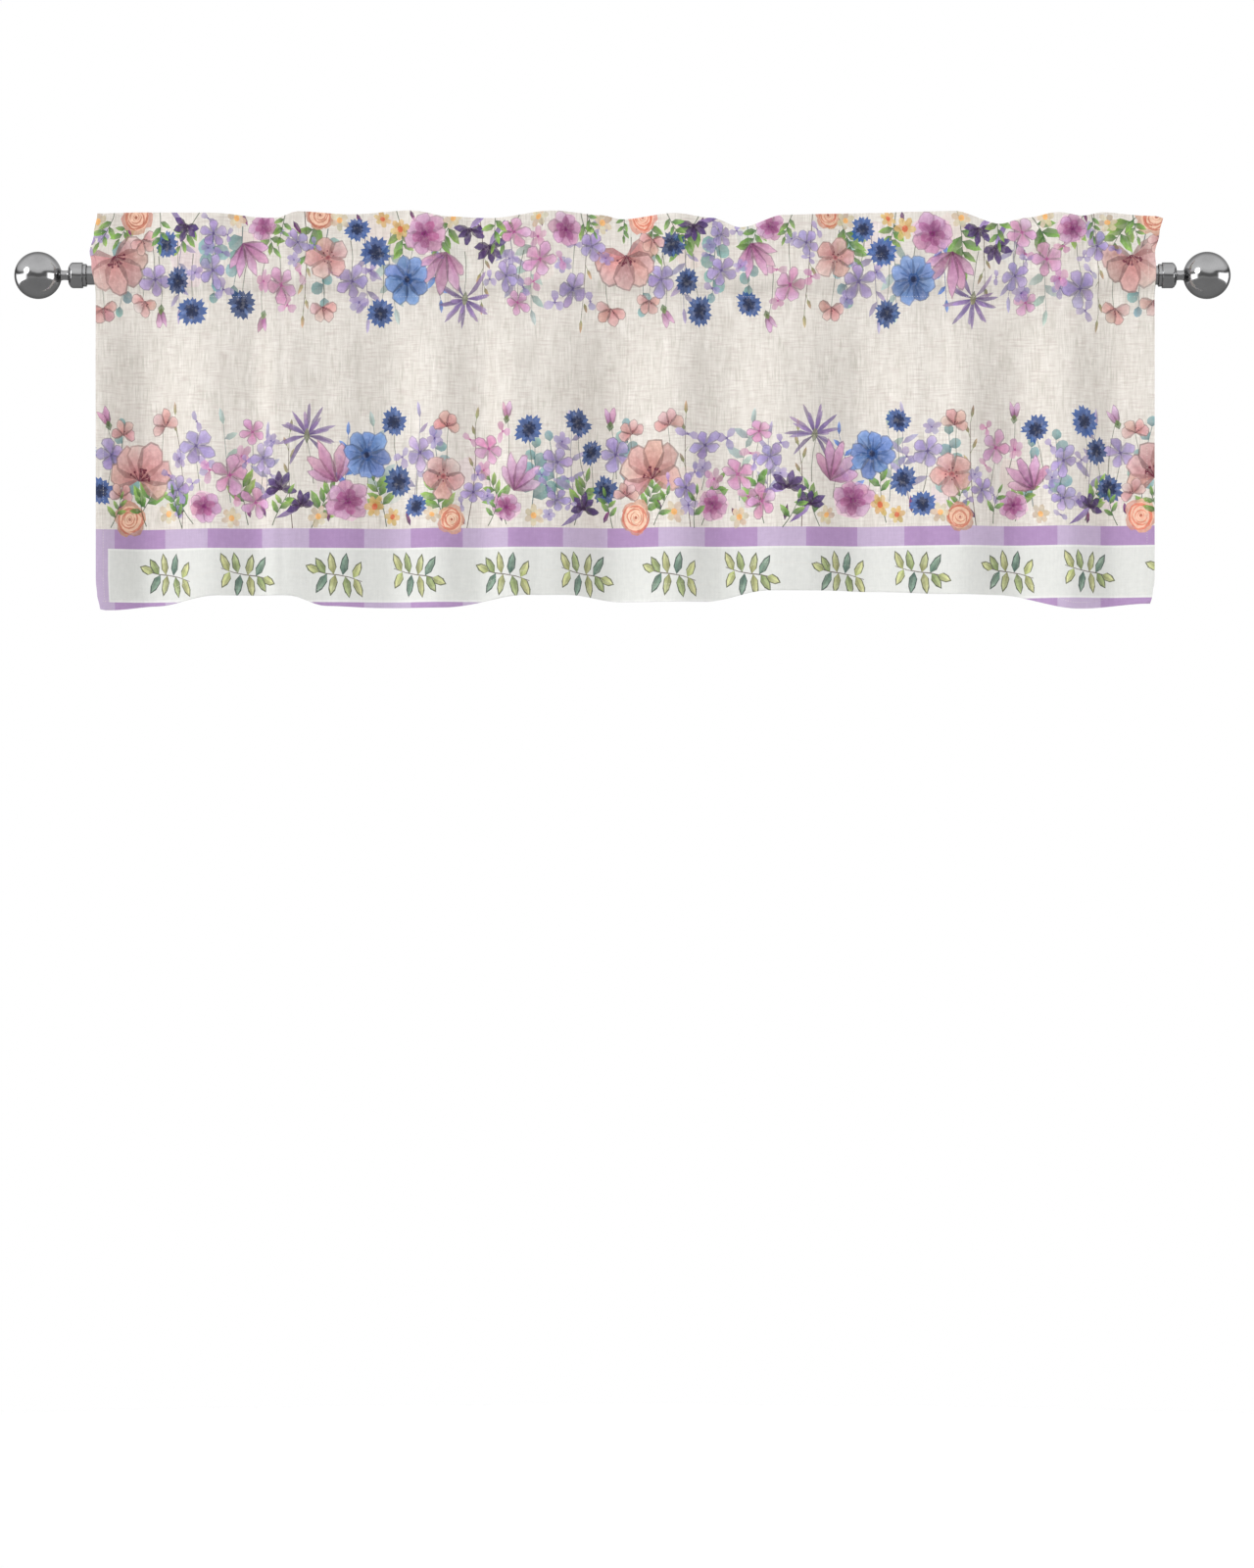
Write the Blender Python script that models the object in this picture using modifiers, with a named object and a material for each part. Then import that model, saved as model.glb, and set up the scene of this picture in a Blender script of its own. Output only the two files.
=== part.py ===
"""A window valance gathered on its curtain rod, at real size.

The cloth is one printed panel. Its bottom is turned up behind as a hem. Its top is folded over to
the back and sewn along two lines, so that a soft heading stands above a pocket. A steel tube runs
through the pocket, and a ball finial closes each end of it: a collar, a neck and a ball.

Metres, +Z up. The room is at -Y and the wall at +Y. The origin is the middle of the tube's axis.
"""

import math
from collections import namedtuple

import bpy

MM = 0.001

# Tube and finials, measured along the rod from its middle and out from its axis
TUBE_RADIUS = 11.0 * MM
TUBE_WALL = 1.0 * MM
TUBE_HALF_LENGTH = 635.5 * MM
SEAT_GAP = 0.3 * MM

COLLAR_INNER_END = 624.8 * MM
COLLAR_OUTER_END = 645.5 * MM
COLLAR_RADIUS = 15.0 * MM
COLLAR_RIM_RADIUS = 13.2 * MM
COLLAR_RIM_LENGTH = 3.4 * MM
COLLAR_GROOVE_RADIUS = 12.5 * MM
COLLAR_GROOVE_LENGTH = 1.0 * MM
COLLAR_CHAMFER = 4.2 * MM
COLLAR_EDGE = 0.8 * MM

BALL_RADIUS = 27.5 * MM
BALL_CENTRE = 681.5 * MM
BALL_SEAT_RADIUS = 7.0 * MM
NECK_END_RADIUS = 6.3 * MM
NECK_WAIST_RADIUS = 5.5 * MM

ROUND_STEPS = 32
BALL_STEPS = 12

# Cloth
CLOTH_THICKNESS = 1.2 * MM
LAYER_SPACING = 2.6 * MM
COLUMNS = 96
BODY_ROWS = 5
HEM_CUT = -402.0 * MM
SEAM_HEIGHT = 22.0 * MM
POCKET_REACH = 12.1 * MM
POCKET_CORNER = 5.0 * MM
POCKET_FULLNESS = 6.5 * MM
SEAM_ALLOWANCE = 6.0 * MM
TURN_HEIGHT = 1.7 * MM

# How much of each main fold is left at the pocket's seams and at the heading's top
SEAM_SHARE = 0.2
HEADING_SHARE = 0.5
FOLD_GROWTH = 95.0 * MM

# The main folds at the body, left to right: place along the rod, and how far forward, in millimetres
Fold = namedtuple("Fold", "across forward")
FOLDS = (
    Fold(-613, 6),
    Fold(-560, -20),
    Fold(-479, 13),
    Fold(-429, 1.5),
    Fold(-400, 13),
    Fold(-338, 0.5),
    Fold(-270, -15),
    Fold(-212, 7.5),
    Fold(-167, -4.5),
    Fold(-124, 12.5),
    Fold(-91, 7.5),
    Fold(-10, -22.5),
    Fold(67, 8),
    Fold(118, -10),
    Fold(186, 9),
    Fold(213, 7),
    Fold(276, -15),
    Fold(348, 6),
    Fold(394, 16),
    Fold(459, -8),
    Fold(520, 11),
    Fold(571, -13),
    Fold(620, 0),
)

# The outline of the cloth's top fold and of its hem, left to right, in millimetres
Outline = namedtuple("Outline", "across height")
HEADING_TOP = (
    Outline(-616, 71.5),
    Outline(-560, 74),
    Outline(-480, 72),
    Outline(-404, 66),
    Outline(-378, 74),
    Outline(-320, 71),
    Outline(-250, 76),
    Outline(-200, 68),
    Outline(-150, 66.5),
    Outline(-80, 75),
    Outline(-25, 71),
    Outline(0, 66),
    Outline(60, 72),
    Outline(105, 67),
    Outline(138, 56),
    Outline(190, 70),
    Outline(290, 73),
    Outline(385, 74),
    Outline(440, 60),
    Outline(470, 67),
    Outline(508, 73),
    Outline(535, 69),
    Outline(562, 74),
    Outline(610, 69),
    Outline(632, 63),
)
HEM_LINE = (
    Outline(-608, -385),
    Outline(-585, -387),
    Outline(-530, -382),
    Outline(-470, -373),
    Outline(-390, -373),
    Outline(-340, -384),
    Outline(-225, -386.5),
    Outline(-165, -380),
    Outline(-110, -372),
    Outline(-65, -371.5),
    Outline(-10, -381),
    Outline(85, -381.5),
    Outline(150, -372),
    Outline(200, -368),
    Outline(290, -368.5),
    Outline(380, -372),
    Outline(450, -373),
    Outline(500, -385),
    Outline(540, -389.5),
    Outline(585, -386),
    Outline(612, -383),
)

# The two side edges of the cloth from the heading down to the hem, in millimetres
Sides = namedtuple("Sides", "height left right")
SIDE_EDGES = (
    Sides(72, -612, 631),
    Sides(48, -616, 626),
    Sides(27, -621, 621),
    Sides(12, -618, 621),
    Sides(-14, -614, 620.5),
    Sides(-200, -613.5, 620.5),
    Sides(-355, -613.5, 620.5),
    Sides(-372, -611, 618),
    Sides(-388, -605, 613.5),
)
BODY_LEFT = -613.5 * MM
BODY_RIGHT = 620.5 * MM
SIDE_REACH = 45.0 * MM

LINEN_COLOUR = (0.80, 0.74, 0.66, 1.0)
STEEL_COLOUR = (0.62, 0.62, 0.63, 1.0)
CHROME_COLOUR = (0.72, 0.72, 0.73, 1.0)


def clear_scene():
    for thing in list(bpy.data.objects):
        bpy.data.objects.remove(thing)


def new_collection(name):
    collection = bpy.data.collections.new(name)
    bpy.context.scene.collection.children.link(collection)
    return collection


def new_material(name, colour, roughness, metallic):
    material = bpy.data.materials.new(name)
    material.use_nodes = True
    shader = material.node_tree.nodes["Principled BSDF"]
    shader.inputs["Base Color"].default_value = colour
    shader.inputs["Roughness"].default_value = roughness
    shader.inputs["Metallic"].default_value = metallic
    material.diffuse_color = colour
    return material


def ease(share):
    """0 to 1 with level ends."""
    share = max(0.0, min(1.0, share))
    return share * share * (3 - 2 * share)


def along_table(rows, place, column):
    """The column's value at a place, eased between the table's rows and held past its ends."""
    if place <= rows[0][0]:
        return rows[0][column]
    for low, high in zip(rows, rows[1:]):
        if place <= high[0]:
            share = ease((place - low[0]) / (high[0] - low[0]))
            return low[column] + (high[column] - low[column]) * share
    return rows[-1][column]


def fold_at(across):
    """How far forward the main folds stand at a place along the rod."""
    return along_table(FOLDS, across / MM, 1) * MM


def body_depth(across, height):
    """Y of the cloth's middle layer below the pocket."""
    below = -SEAM_HEIGHT - SEAM_ALLOWANCE - height
    share = SEAM_SHARE + (1 - SEAM_SHARE) * ease(below / FOLD_GROWTH)
    return -fold_at(across) * share - LAYER_SPACING / 2


def heading_depth(across, height, top):
    """Y of the middle between the heading's two layers."""
    rise = ease((height - SEAM_HEIGHT) / (top - SEAM_HEIGHT))
    return -fold_at(across) * (SEAM_SHARE + (HEADING_SHARE - SEAM_SHARE) * rise)


def pocket_wall(across, side):
    """(y, z) of the pocket's wall from its upper seam to its lower one. side is -1 in front, 1 behind."""
    deepest = min(row.forward for row in FOLDS)
    highest = max(row.forward for row in FOLDS)
    fullness = (fold_at(across) / MM - deepest) / (highest - deepest)
    if side > 0:
        fullness = 1 - fullness
    swell = POCKET_FULLNESS * fullness
    seam = side * LAYER_SPACING / 2 - fold_at(across) * SEAM_SHARE
    reach = side * (POCKET_REACH + swell)
    return [
        (seam, SEAM_HEIGHT),
        (reach, POCKET_CORNER),
        (reach, -POCKET_CORNER),
        (seam, -SEAM_HEIGHT),
    ]


def strip_section(across):
    """(y, z) down the one strip of cloth, from the hem's cut edge round to the pocket's."""
    half = LAYER_SPACING / 2
    top = along_table(HEADING_TOP, across / MM, 1) * MM
    hem = along_table(HEM_LINE, across / MM, 1) * MM
    hem_edge = 2 * hem - HEM_CUT
    turn = hem + TURN_HEIGHT
    points = [(body_depth(across, z) + LAYER_SPACING, z) for z in (hem_edge, turn)]
    points.append((body_depth(across, hem) + half, hem))
    lower, upper = turn, -SEAM_HEIGHT - SEAM_ALLOWANCE
    for row in range(BODY_ROWS + 1):
        height = lower + (upper - lower) * row / BODY_ROWS
        points.append((body_depth(across, height), height))
    points += reversed(pocket_wall(across, -1))
    crest = top - TURN_HEIGHT
    middle = (SEAM_HEIGHT + crest) / 2
    points += [(heading_depth(across, z, top) - half, z) for z in (middle, crest)]
    points.append((heading_depth(across, top, top), top))
    points += [(heading_depth(across, z, top) + half, z) for z in (crest, middle)]
    points += pocket_wall(across, 1)
    points.append((body_depth(across, upper) + LAYER_SPACING, upper))
    return points


def side_shift(across, height):
    """How far a point near a side edge is moved along the rod, so that the edge follows its outline."""
    rows = [(-row.height, row.left, row.right) for row in SIDE_EDGES]
    left = along_table(rows, -height / MM, 1) * MM - BODY_LEFT
    right = along_table(rows, -height / MM, 2) * MM - BODY_RIGHT
    near_left = ease(1 - (across - BODY_LEFT) / SIDE_REACH)
    near_right = ease(1 - (BODY_RIGHT - across) / SIDE_REACH)
    return left * near_left + right * near_right


def make_valance(collection, material):
    """The panel as an open surface over its folds, given its thickness."""
    points = []
    for column in range(COLUMNS + 1):
        across = BODY_LEFT + (BODY_RIGHT - BODY_LEFT) * column / COLUMNS
        for y, z in strip_section(across):
            points.append((across + side_shift(across, z), y, z))
    rows = len(points) // (COLUMNS + 1)
    faces = []
    for column in range(COLUMNS):
        for row in range(rows - 1):
            corner = column * rows + row
            faces.append((corner, corner + 1, corner + rows + 1, corner + rows))
    mesh = bpy.data.meshes.new("valance")
    mesh.from_pydata(points, [], faces)
    mesh.shade_smooth()
    mesh.materials.append(material)
    valance = bpy.data.objects.new("valance", mesh)
    collection.objects.link(valance)
    solidify = valance.modifiers.new("cloth thickness", "SOLIDIFY")
    solidify.thickness = CLOTH_THICKNESS
    solidify.offset = 0.0
    solidify.use_even_offset = True
    solidify.use_quality_normals = True
    return valance


def turned(name, profile, collection, material, side=1, closed=False):
    """A profile of (radius, distance along the rod) turned round the rod's axis.

    The profile runs down its outer side. It starts half a step round, so that a flat of the
    turned shape faces straight down. side is 1 at the right end of the rod and -1 at the left.
    """
    half_step = math.pi / ROUND_STEPS
    points = []
    for radius, distance in profile:
        points.append((radius * math.cos(half_step), radius * math.sin(half_step), distance))
    edges = [(i, i + 1) for i in range(len(points) - 1)]
    if closed:
        edges.append((len(points) - 1, 0))
    mesh = bpy.data.meshes.new(name)
    mesh.from_pydata(points, edges, [])
    mesh.materials.append(material)
    shape = bpy.data.objects.new(name, mesh)
    shape.rotation_euler = (0.0, side * math.pi / 2, 0.0)
    collection.objects.link(shape)
    screw = shape.modifiers.new("turn", "SCREW")
    screw.axis = "Z"
    screw.steps = ROUND_STEPS
    screw.render_steps = ROUND_STEPS
    screw.use_merge_vertices = True
    screw.merge_threshold = 0.00001
    screw.use_smooth_shade = True
    return shape


def make_tube(collection, material):
    outer, inner = TUBE_RADIUS, TUBE_RADIUS - TUBE_WALL
    profile = [
        (outer, TUBE_HALF_LENGTH),
        (outer, -TUBE_HALF_LENGTH),
        (inner, -TUBE_HALF_LENGTH),
        (inner, TUBE_HALF_LENGTH),
    ]
    return turned("rod_tube", profile, collection, material, closed=True)


def collar_profile():
    """A cup over the tube's end: chamfered outside, with a groove and a rim towards the cloth."""
    rim_end = COLLAR_INNER_END + COLLAR_RIM_LENGTH
    groove_end = rim_end + COLLAR_GROOVE_LENGTH
    bore = TUBE_RADIUS + SEAT_GAP
    return [
        (0.0, COLLAR_OUTER_END),
        (COLLAR_RADIUS - COLLAR_CHAMFER, COLLAR_OUTER_END),
        (COLLAR_RADIUS, COLLAR_OUTER_END - COLLAR_CHAMFER),
        (COLLAR_RADIUS, groove_end + COLLAR_EDGE),
        (COLLAR_RADIUS - COLLAR_EDGE, groove_end),
        (COLLAR_GROOVE_RADIUS, groove_end),
        (COLLAR_GROOVE_RADIUS, rim_end),
        (COLLAR_RIM_RADIUS, rim_end),
        (COLLAR_RIM_RADIUS, COLLAR_INNER_END),
        (bore, COLLAR_INNER_END),
        (bore, TUBE_HALF_LENGTH + SEAT_GAP),
        (0.0, TUBE_HALF_LENGTH + SEAT_GAP),
    ]


def ball_seat():
    """Where the ball's flat seat lies along the rod."""
    return BALL_CENTRE - math.sqrt(BALL_RADIUS**2 - BALL_SEAT_RADIUS**2)


def neck_profile():
    outer_end = ball_seat() - SEAT_GAP
    inner_end = COLLAR_OUTER_END + SEAT_GAP
    third = (outer_end - inner_end) / 3
    return [
        (0.0, outer_end),
        (NECK_END_RADIUS, outer_end),
        (NECK_WAIST_RADIUS, outer_end - third),
        (NECK_WAIST_RADIUS, inner_end + third),
        (NECK_END_RADIUS, inner_end),
        (0.0, inner_end),
    ]


def ball_profile():
    seat_angle = math.asin(BALL_SEAT_RADIUS / BALL_RADIUS)
    points = []
    for step in range(BALL_STEPS + 1):
        angle = (math.pi - seat_angle) * step / BALL_STEPS
        radius = BALL_RADIUS * math.sin(angle) if step else 0.0
        points.append((radius, BALL_CENTRE + BALL_RADIUS * math.cos(angle)))
    points.append((0.0, ball_seat()))
    return points


def make_finial(end, side, collection, material):
    """The collar, neck and ball of one end, each turned by itself."""
    turned(f"collar_{end}", collar_profile(), collection, material, side)
    turned(f"neck_{end}", neck_profile(), collection, material, side)
    turned(f"ball_{end}", ball_profile(), collection, material, side)


def main():
    clear_scene()
    collection = new_collection("window valance and curtain rod")
    linen = new_material("printed linen", LINEN_COLOUR, roughness=0.9, metallic=0.0)
    steel = new_material("polished steel", STEEL_COLOUR, roughness=0.25, metallic=1.0)
    chrome = new_material("chrome", CHROME_COLOUR, roughness=0.12, metallic=1.0)
    make_valance(collection, linen)
    make_tube(collection, steel)
    make_finial("left", -1, collection, chrome)
    make_finial("right", 1, collection, chrome)


main()
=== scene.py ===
"""The looks of a window valance gathered on its curtain rod.

The cloth is one sheet over the folds of its solid, printed in flat cloth coordinates: across runs
along the width and up runs along the drop, both in millimetres. The room is at -Y.
"""

import math
from collections import namedtuple

import bpy
import numpy as np
from bpy.props import FloatProperty, FloatVectorProperty, PointerProperty
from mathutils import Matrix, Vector
from mathutils.geometry import delaunay_2d_cdt


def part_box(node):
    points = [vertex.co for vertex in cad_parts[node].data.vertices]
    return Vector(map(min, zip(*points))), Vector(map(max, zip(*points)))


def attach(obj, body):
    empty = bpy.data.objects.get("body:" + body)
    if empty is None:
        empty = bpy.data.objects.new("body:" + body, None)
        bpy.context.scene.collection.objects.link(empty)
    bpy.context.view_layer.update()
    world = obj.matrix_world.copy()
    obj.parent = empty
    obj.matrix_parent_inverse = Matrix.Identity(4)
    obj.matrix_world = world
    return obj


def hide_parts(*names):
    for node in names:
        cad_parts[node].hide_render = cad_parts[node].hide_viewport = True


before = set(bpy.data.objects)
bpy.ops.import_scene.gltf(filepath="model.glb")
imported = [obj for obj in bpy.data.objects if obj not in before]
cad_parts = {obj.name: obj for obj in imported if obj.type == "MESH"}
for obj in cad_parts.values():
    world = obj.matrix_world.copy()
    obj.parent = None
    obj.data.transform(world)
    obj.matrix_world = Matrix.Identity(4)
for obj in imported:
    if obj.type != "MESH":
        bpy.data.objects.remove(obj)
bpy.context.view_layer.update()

bl_info = {
    "name": "Window valance",
    "version": (1, 0, 0),
    "blender": (4, 5, 0),
    "location": "3D View > Sidebar > Valance",
    "description": "Dresses a printed window valance and its curtain rod",
    "category": "Object",
}

MM = 0.001
BODY = "root"

# The hung cloth, in millimetres


def table_of(kind, *rows):
    """The rows of a table, with their numbers named as the kind names them."""
    return tuple(kind(*row) for row in rows)


Fold = namedtuple("Fold", "across forward")
Outline = namedtuple("Outline", "across height")
Sides = namedtuple("Sides", "depth left right")
Crease = namedtuple("Crease", "across forward wide low high lean")
# The folds and the heading repeat the solid's own tables. The hem and the sides follow it more finely.
FOLDS = table_of(
    Fold,
    (-613, 6), (-560, -20), (-479, 13), (-429, 1.5), (-400, 13), (-338, 0.5), (-270, -15),
    (-212, 7.5), (-167, -4.5), (-124, 12.5), (-91, 7.5), (-10, -22.5), (67, 8), (118, -10),
    (186, 9), (213, 7), (276, -15), (348, 6), (394, 16), (459, -8), (520, 11), (571, -13), (620, 0),
)
HEADING_TOP = table_of(
    Outline,
    (-616, 71.5), (-560, 74), (-480, 72), (-404, 66), (-378, 74), (-320, 71), (-250, 76),
    (-200, 68), (-150, 66.5), (-80, 75), (-25, 71), (0, 66), (60, 72), (105, 67), (138, 56),
    (190, 70), (290, 73), (385, 74), (440, 60), (470, 67), (508, 73), (535, 69), (562, 74),
    (610, 69), (632, 63),
)
HEM_LINE = table_of(
    Outline,
    (-608, -390.2), (-598, -390), (-545, -385), (-472, -373), (-390, -373), (-345, -385),
    (-285, -387), (-210, -387), (-110, -372.4), (-62, -372.2), (-2, -380.1), (95, -380.1),
    (170, -367), (245, -367), (290, -368.3), (380, -371.5), (440, -372.3), (530, -388.3),
    (612, -382.3),
)
# How much higher than an even line the bands hang near their foot.
BAND_FOOT = table_of(
    Outline,
    (-600, 0), (-150, -1.2), (40, -1.8), (400, 0.6), (600, 1.2),
)
SIDE_EDGES = table_of(
    Sides,
    (-72, -612, 631), (-48, -616, 626), (-27, -621, 621), (-12, -618, 621), (14, -614, 620.5),
    (200, -613.5, 620.5), (355, -613.5, 620.5), (372, -612, 618), (390, -608.4, 613.5),
)
LEFT, RIGHT = -613.5, 620.5
# The sides' shape reaches this far in from the edges, and less far at the hem.
SIDE_REACH = 45.0
HEM_REACH = 25.0
# Soft creases that run down the front: where they are at LEAN_HEIGHT, how far forward and how wide
# they are, from and to which height they run, and how far they lean over for each unit of height.
LEAN_HEIGHT = -180.0
CREASE_FOOT_FADE = 60.0
CREASE_TOP_FADE = 50.0
CREASES = table_of(
    Crease,
    (-584, -0.9, 8, -330, 20, 0.02), (-520, 0.8, 9, -390, -60, -0.02),
    (-446, 0.9, 8, -300, 60, 0.01), (-396, -1.7, 7, -392, 70, 0.0),
    (-352, 0.8, 9, -250, -20, 0.03), (-304, -0.9, 8, -392, 40, -0.01),
    (-238, 0.7, 10, -330, -40, 0.02), (-188, -1.0, 8, -390, 60, 0.015),
    (-146, 0.9, 8, -290, -30, -0.02), (-58, 0.8, 9, -392, -90, 0.03),
    (-24, -1.1, 8, -350, 62, -0.01), (44, -0.7, 9, -300, -40, 0.0),
    (96, -1.2, 7, -390, 66, 0.01), (152, 0.9, 8, -260, 40, -0.02),
    (232, -0.8, 8, -392, -50, 0.02), (262, 1.0, 8, -330, 62, 0.0),
    (318, -0.9, 9, -390, -30, -0.03), (372, -0.9, 8, -300, 66, 0.01),
    (430, -1.1, 8, -392, 50, -0.01), (492, 0.8, 9, -340, -20, 0.02),
    (541, -1.1, 8, -390, 62, 0.0), (592, 0.8, 9, -300, -40, 0.02),
    (669, -1.8, 9, -62, 52, -0.68), (690, 3.2, 7.5, -62, 52, -0.68),
    (713, -1.8, 9, -62, 52, -0.68),
)
FLAT_WIDTH = 1372.0
CUT_LOW = -402.0
CUT_HIGH = 172.0
SEAM = 22.0
ALLOWANCE = 6.0
# The share of a fold's depth that is left at the seams and at the heading's top.
SEAM_SHARE = 0.2
HEADING_SHARE = 0.5
FOLD_GROWTH = 95.0
POCKET_REACH = 12.1
POCKET_FULLNESS = 6.5
TURN = 1.3
PUCKER_DEPTH = 0.45
PUCKER_PITCH = 2.9
PUCKER_FADE = 13.0
# The bands rise towards the right by BAND_RISE in all. That sets in from RISE_START on the flat
# cloth downwards, and BAND_FOOT from FOOT_START.
BAND_RISE = 4.6
RISE_START, RISE_LENGTH = -60.0, 230.0
FOOT_START, FOOT_LENGTH = -330.0, 45.0

# The print, in millimetres of flat cloth

BORDER_FOOT = -294.0
HEADING_FOOT = 80.0
BORDER_REPEAT = 655.0
BORDER_LEAD = 0.12
HEADING_SHIFT = 38.0
BORDER_MARGIN = 60.0
CHECK_TALL = 22.5
CHECK_REPEAT = 128.0
CHECK_DARK = 68.0
CHECK_START = 24.0
BAND_TALL = 62.5
BAND_INSET = 15.0
BAND_RIM = 2.5
SPRIG_START = 79.0
SPRIG_PITCH = 108.5
PAST_EDGE = 5.0
# The sheet's cut edges are divided into so many parts, and the print shows through in cells this wide.
EDGE_ROWS = 115
EDGE_COLUMNS = 180
SHOW_CELL = 11.0


def linear(colour):
    """An everyday 0 to 255 colour as linear light."""
    share = np.array(colour, float) / 255
    return np.where(share <= 0.04045, share / 12.92, ((share + 0.055) / 1.055) ** 2.4)


LAVENDER_LIGHT = (196, 176, 208)
LAVENDER_DARK = (178, 145, 191)
BAND_WHITE = (233, 234, 230)

LILAC = (192, 174, 222)
LILAC_DEEP = (126, 102, 182)
PINK = (236, 182, 214)
ROSE = (206, 104, 168)
MAGENTA = (152, 40, 124)
CORAL = (240, 194, 188)
CORAL_DEEP = (202, 116, 116)
MAROON = (104, 24, 52)
BLUE = (38, 88, 158)
BLUE_DEEP = (14, 36, 84)
SKY = (128, 160, 224)
PEACH = (246, 200, 174)
PEACH_DEEP = (196, 98, 74)
CREAM = (248, 226, 192)
YOLK = (238, 172, 92)
MAUVE = (164, 138, 190)
MAUVE_DEEP = (92, 68, 130)
PLUM = (62, 22, 78)
LEAF = (128, 170, 84)
LEAF_DEEP = (38, 82, 36)
OLIVE = (172, 178, 108)
OLIVE_DEEP = (112, 124, 70)
TEAL = (124, 170, 170)
TEAL_DEEP = (58, 106, 112)
SAGE = (184, 204, 198)
HEATHER = (178, 168, 204)
STEM = (84, 94, 74)
BARK = (82, 58, 48)
ROSY_THREAD = (214, 196, 192)
MOSSY_THREAD = (198, 198, 184)
CUT_EDGE = (232, 226, 216)
THREAD_DARK = (206, 200, 192)
THREAD_LIGHT = (238, 234, 228)


# Small helpers


def ease(share):
    """0 to 1 with level ends."""
    share = np.clip(share, 0.0, 1.0)
    return share * share * (3 - 2 * share)


def along_table(rows, places, column):
    """The column's values at the places, eased between the table's rows and held past its ends."""
    table = np.array(rows, float)
    keys, values = table[:, 0], table[:, column]
    places = np.clip(places, keys[0], keys[-1])
    low = np.clip(np.searchsorted(keys, places, side="right") - 1, 0, len(keys) - 2)
    share = ease((places - keys[low]) / (keys[low + 1] - keys[low]))
    return values[low] + (values[low + 1] - values[low]) * share


def deselect():
    if bpy.context.object and bpy.context.object.mode != "OBJECT":
        bpy.ops.object.mode_set(mode="OBJECT")
    bpy.ops.object.select_all(action="DESELECT")


# Where the flat cloth hangs


def fold_at(across):
    """How far the folds stand out towards the room."""
    return along_table(FOLDS, across, 1)


def small_folds(across, height):
    """Slight creases between the main folds, a little slanted."""
    lean = across + 0.05 * height
    first = np.sin(lean / 11.7 + 1.3 * np.sin(lean / 83.0))
    second = np.sin((across - 0.08 * height) / 19.3 + 2.0)
    patch = 0.5 + 0.5 * np.sin(across / 71.0 + height / 160.0)
    return 0.55 * first * patch + 0.5 * second * (1 - patch)


def creases(across, height):
    """The soft creases of the table, fading at both of their ends."""
    total = np.zeros_like(across)
    for row in CREASES:
        bump = np.exp(-(((across - row.across - row.lean * (height - LEAN_HEIGHT)) / row.wide) ** 2))
        foot, top = ease((height - row.low) / CREASE_FOOT_FADE), ease((row.high - height) / CREASE_TOP_FADE)
        total -= row.forward * bump * foot * top
    return total


def puckers(across, height):
    """Tight little gathers that fade away from the two seams."""
    near = np.exp(-np.abs(np.abs(height) - SEAM) / PUCKER_FADE)
    wave = np.sin(across / PUCKER_PITCH + 2.2 * np.sin(across / 37.0)) * (0.6 + 0.4 * np.sin(across / 23.0))
    return PUCKER_DEPTH * wave * near


def front_depth(across, height, top):
    """Y of the front sheet's middle, from the hem up to the heading's top."""
    below = -SEAM - ALLOWANCE - height
    above = (height - SEAM) / (top - SEAM)
    body = SEAM_SHARE + (1 - SEAM_SHARE) * ease(below / FOLD_GROWTH)
    heading = SEAM_SHARE + (HEADING_SHARE - SEAM_SHARE) * ease(above)
    share = np.where(height < 0, body, heading)
    folds = -fold_at(across) * share
    fine = small_folds(across, height) * ease(below / 60.0) + creases(across, height)
    return folds + fine + puckers(across, height)


def pocket_bulge(across, height, side):
    """How far the pocket's wall stands out from its seams. side is -1 in front and 1 behind."""
    folds = fold_at(across)
    lowest = min(row.forward for row in FOLDS)
    highest = max(row.forward for row in FOLDS)
    fullness = (folds - lowest) / (highest - lowest)
    fullness = np.where(side > 0, 1 - fullness, fullness)
    reach = POCKET_REACH + POCKET_FULLNESS * fullness
    seam = side * TURN - folds * SEAM_SHARE
    share = np.clip(1 - (height / SEAM) ** 2, 0, 1) ** 1.25
    return (side * reach - seam) * share


def hang(across, up):
    """(x, y, z) of the sheet's middle layer for points of flat cloth. The strip runs from the hem's
    cut edge behind, round the hem, up the front, over the heading and down to the pocket's end."""
    x = np.interp(across, FLAT_ALONG, FLAT_PLACES)
    top = along_table(HEADING_TOP, x, 1)
    hem = along_table(HEM_LINE, x, 1)
    lowered = ease((RISE_START - up) / RISE_LENGTH)
    waved = ease((FOOT_START - up) / FOOT_LENGTH)
    up = up + BAND_RISE * (x / (RIGHT - LEFT)) * lowered + along_table(BAND_FOOT, x, 1) * waved
    hem_turn = hem + TURN
    top_turn = top - TURN
    hem_angle = np.clip((hem_turn - up) / TURN, 0, math.pi)
    top_angle = np.clip((up - top_turn) / TURN, 0, math.pi)
    behind_hem = np.clip(hem_turn - math.pi * TURN - up, 0, None)
    past_top = np.clip(up - top_turn - math.pi * TURN, 0, None)
    span = CUT_HIGH - top_turn - math.pi * TURN
    down = past_top / span * (top_turn + SEAM + ALLOWANCE)
    height = np.clip(up, hem_turn, top_turn) - TURN * np.sin(hem_angle) + TURN * np.sin(top_angle)
    height = height + behind_hem - down
    layer = -TURN * np.cos(hem_angle) * np.cos(top_angle)
    y = front_depth(x, height, top) + layer
    y = y + pocket_bulge(x, height, np.where(down > 0, 1.0, -1.0)) * (hem_angle <= 0)
    left = along_table(SIDE_EDGES, -height, 1) - LEFT
    right = along_table(SIDE_EDGES, -height, 2) - RIGHT
    reach = SIDE_REACH + (HEM_REACH - SIDE_REACH) * lowered
    x = x + left * ease(1 - (x - LEFT) / reach) + right * ease(1 - (RIGHT - x) / reach)
    return np.column_stack([x, y, height])


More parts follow.
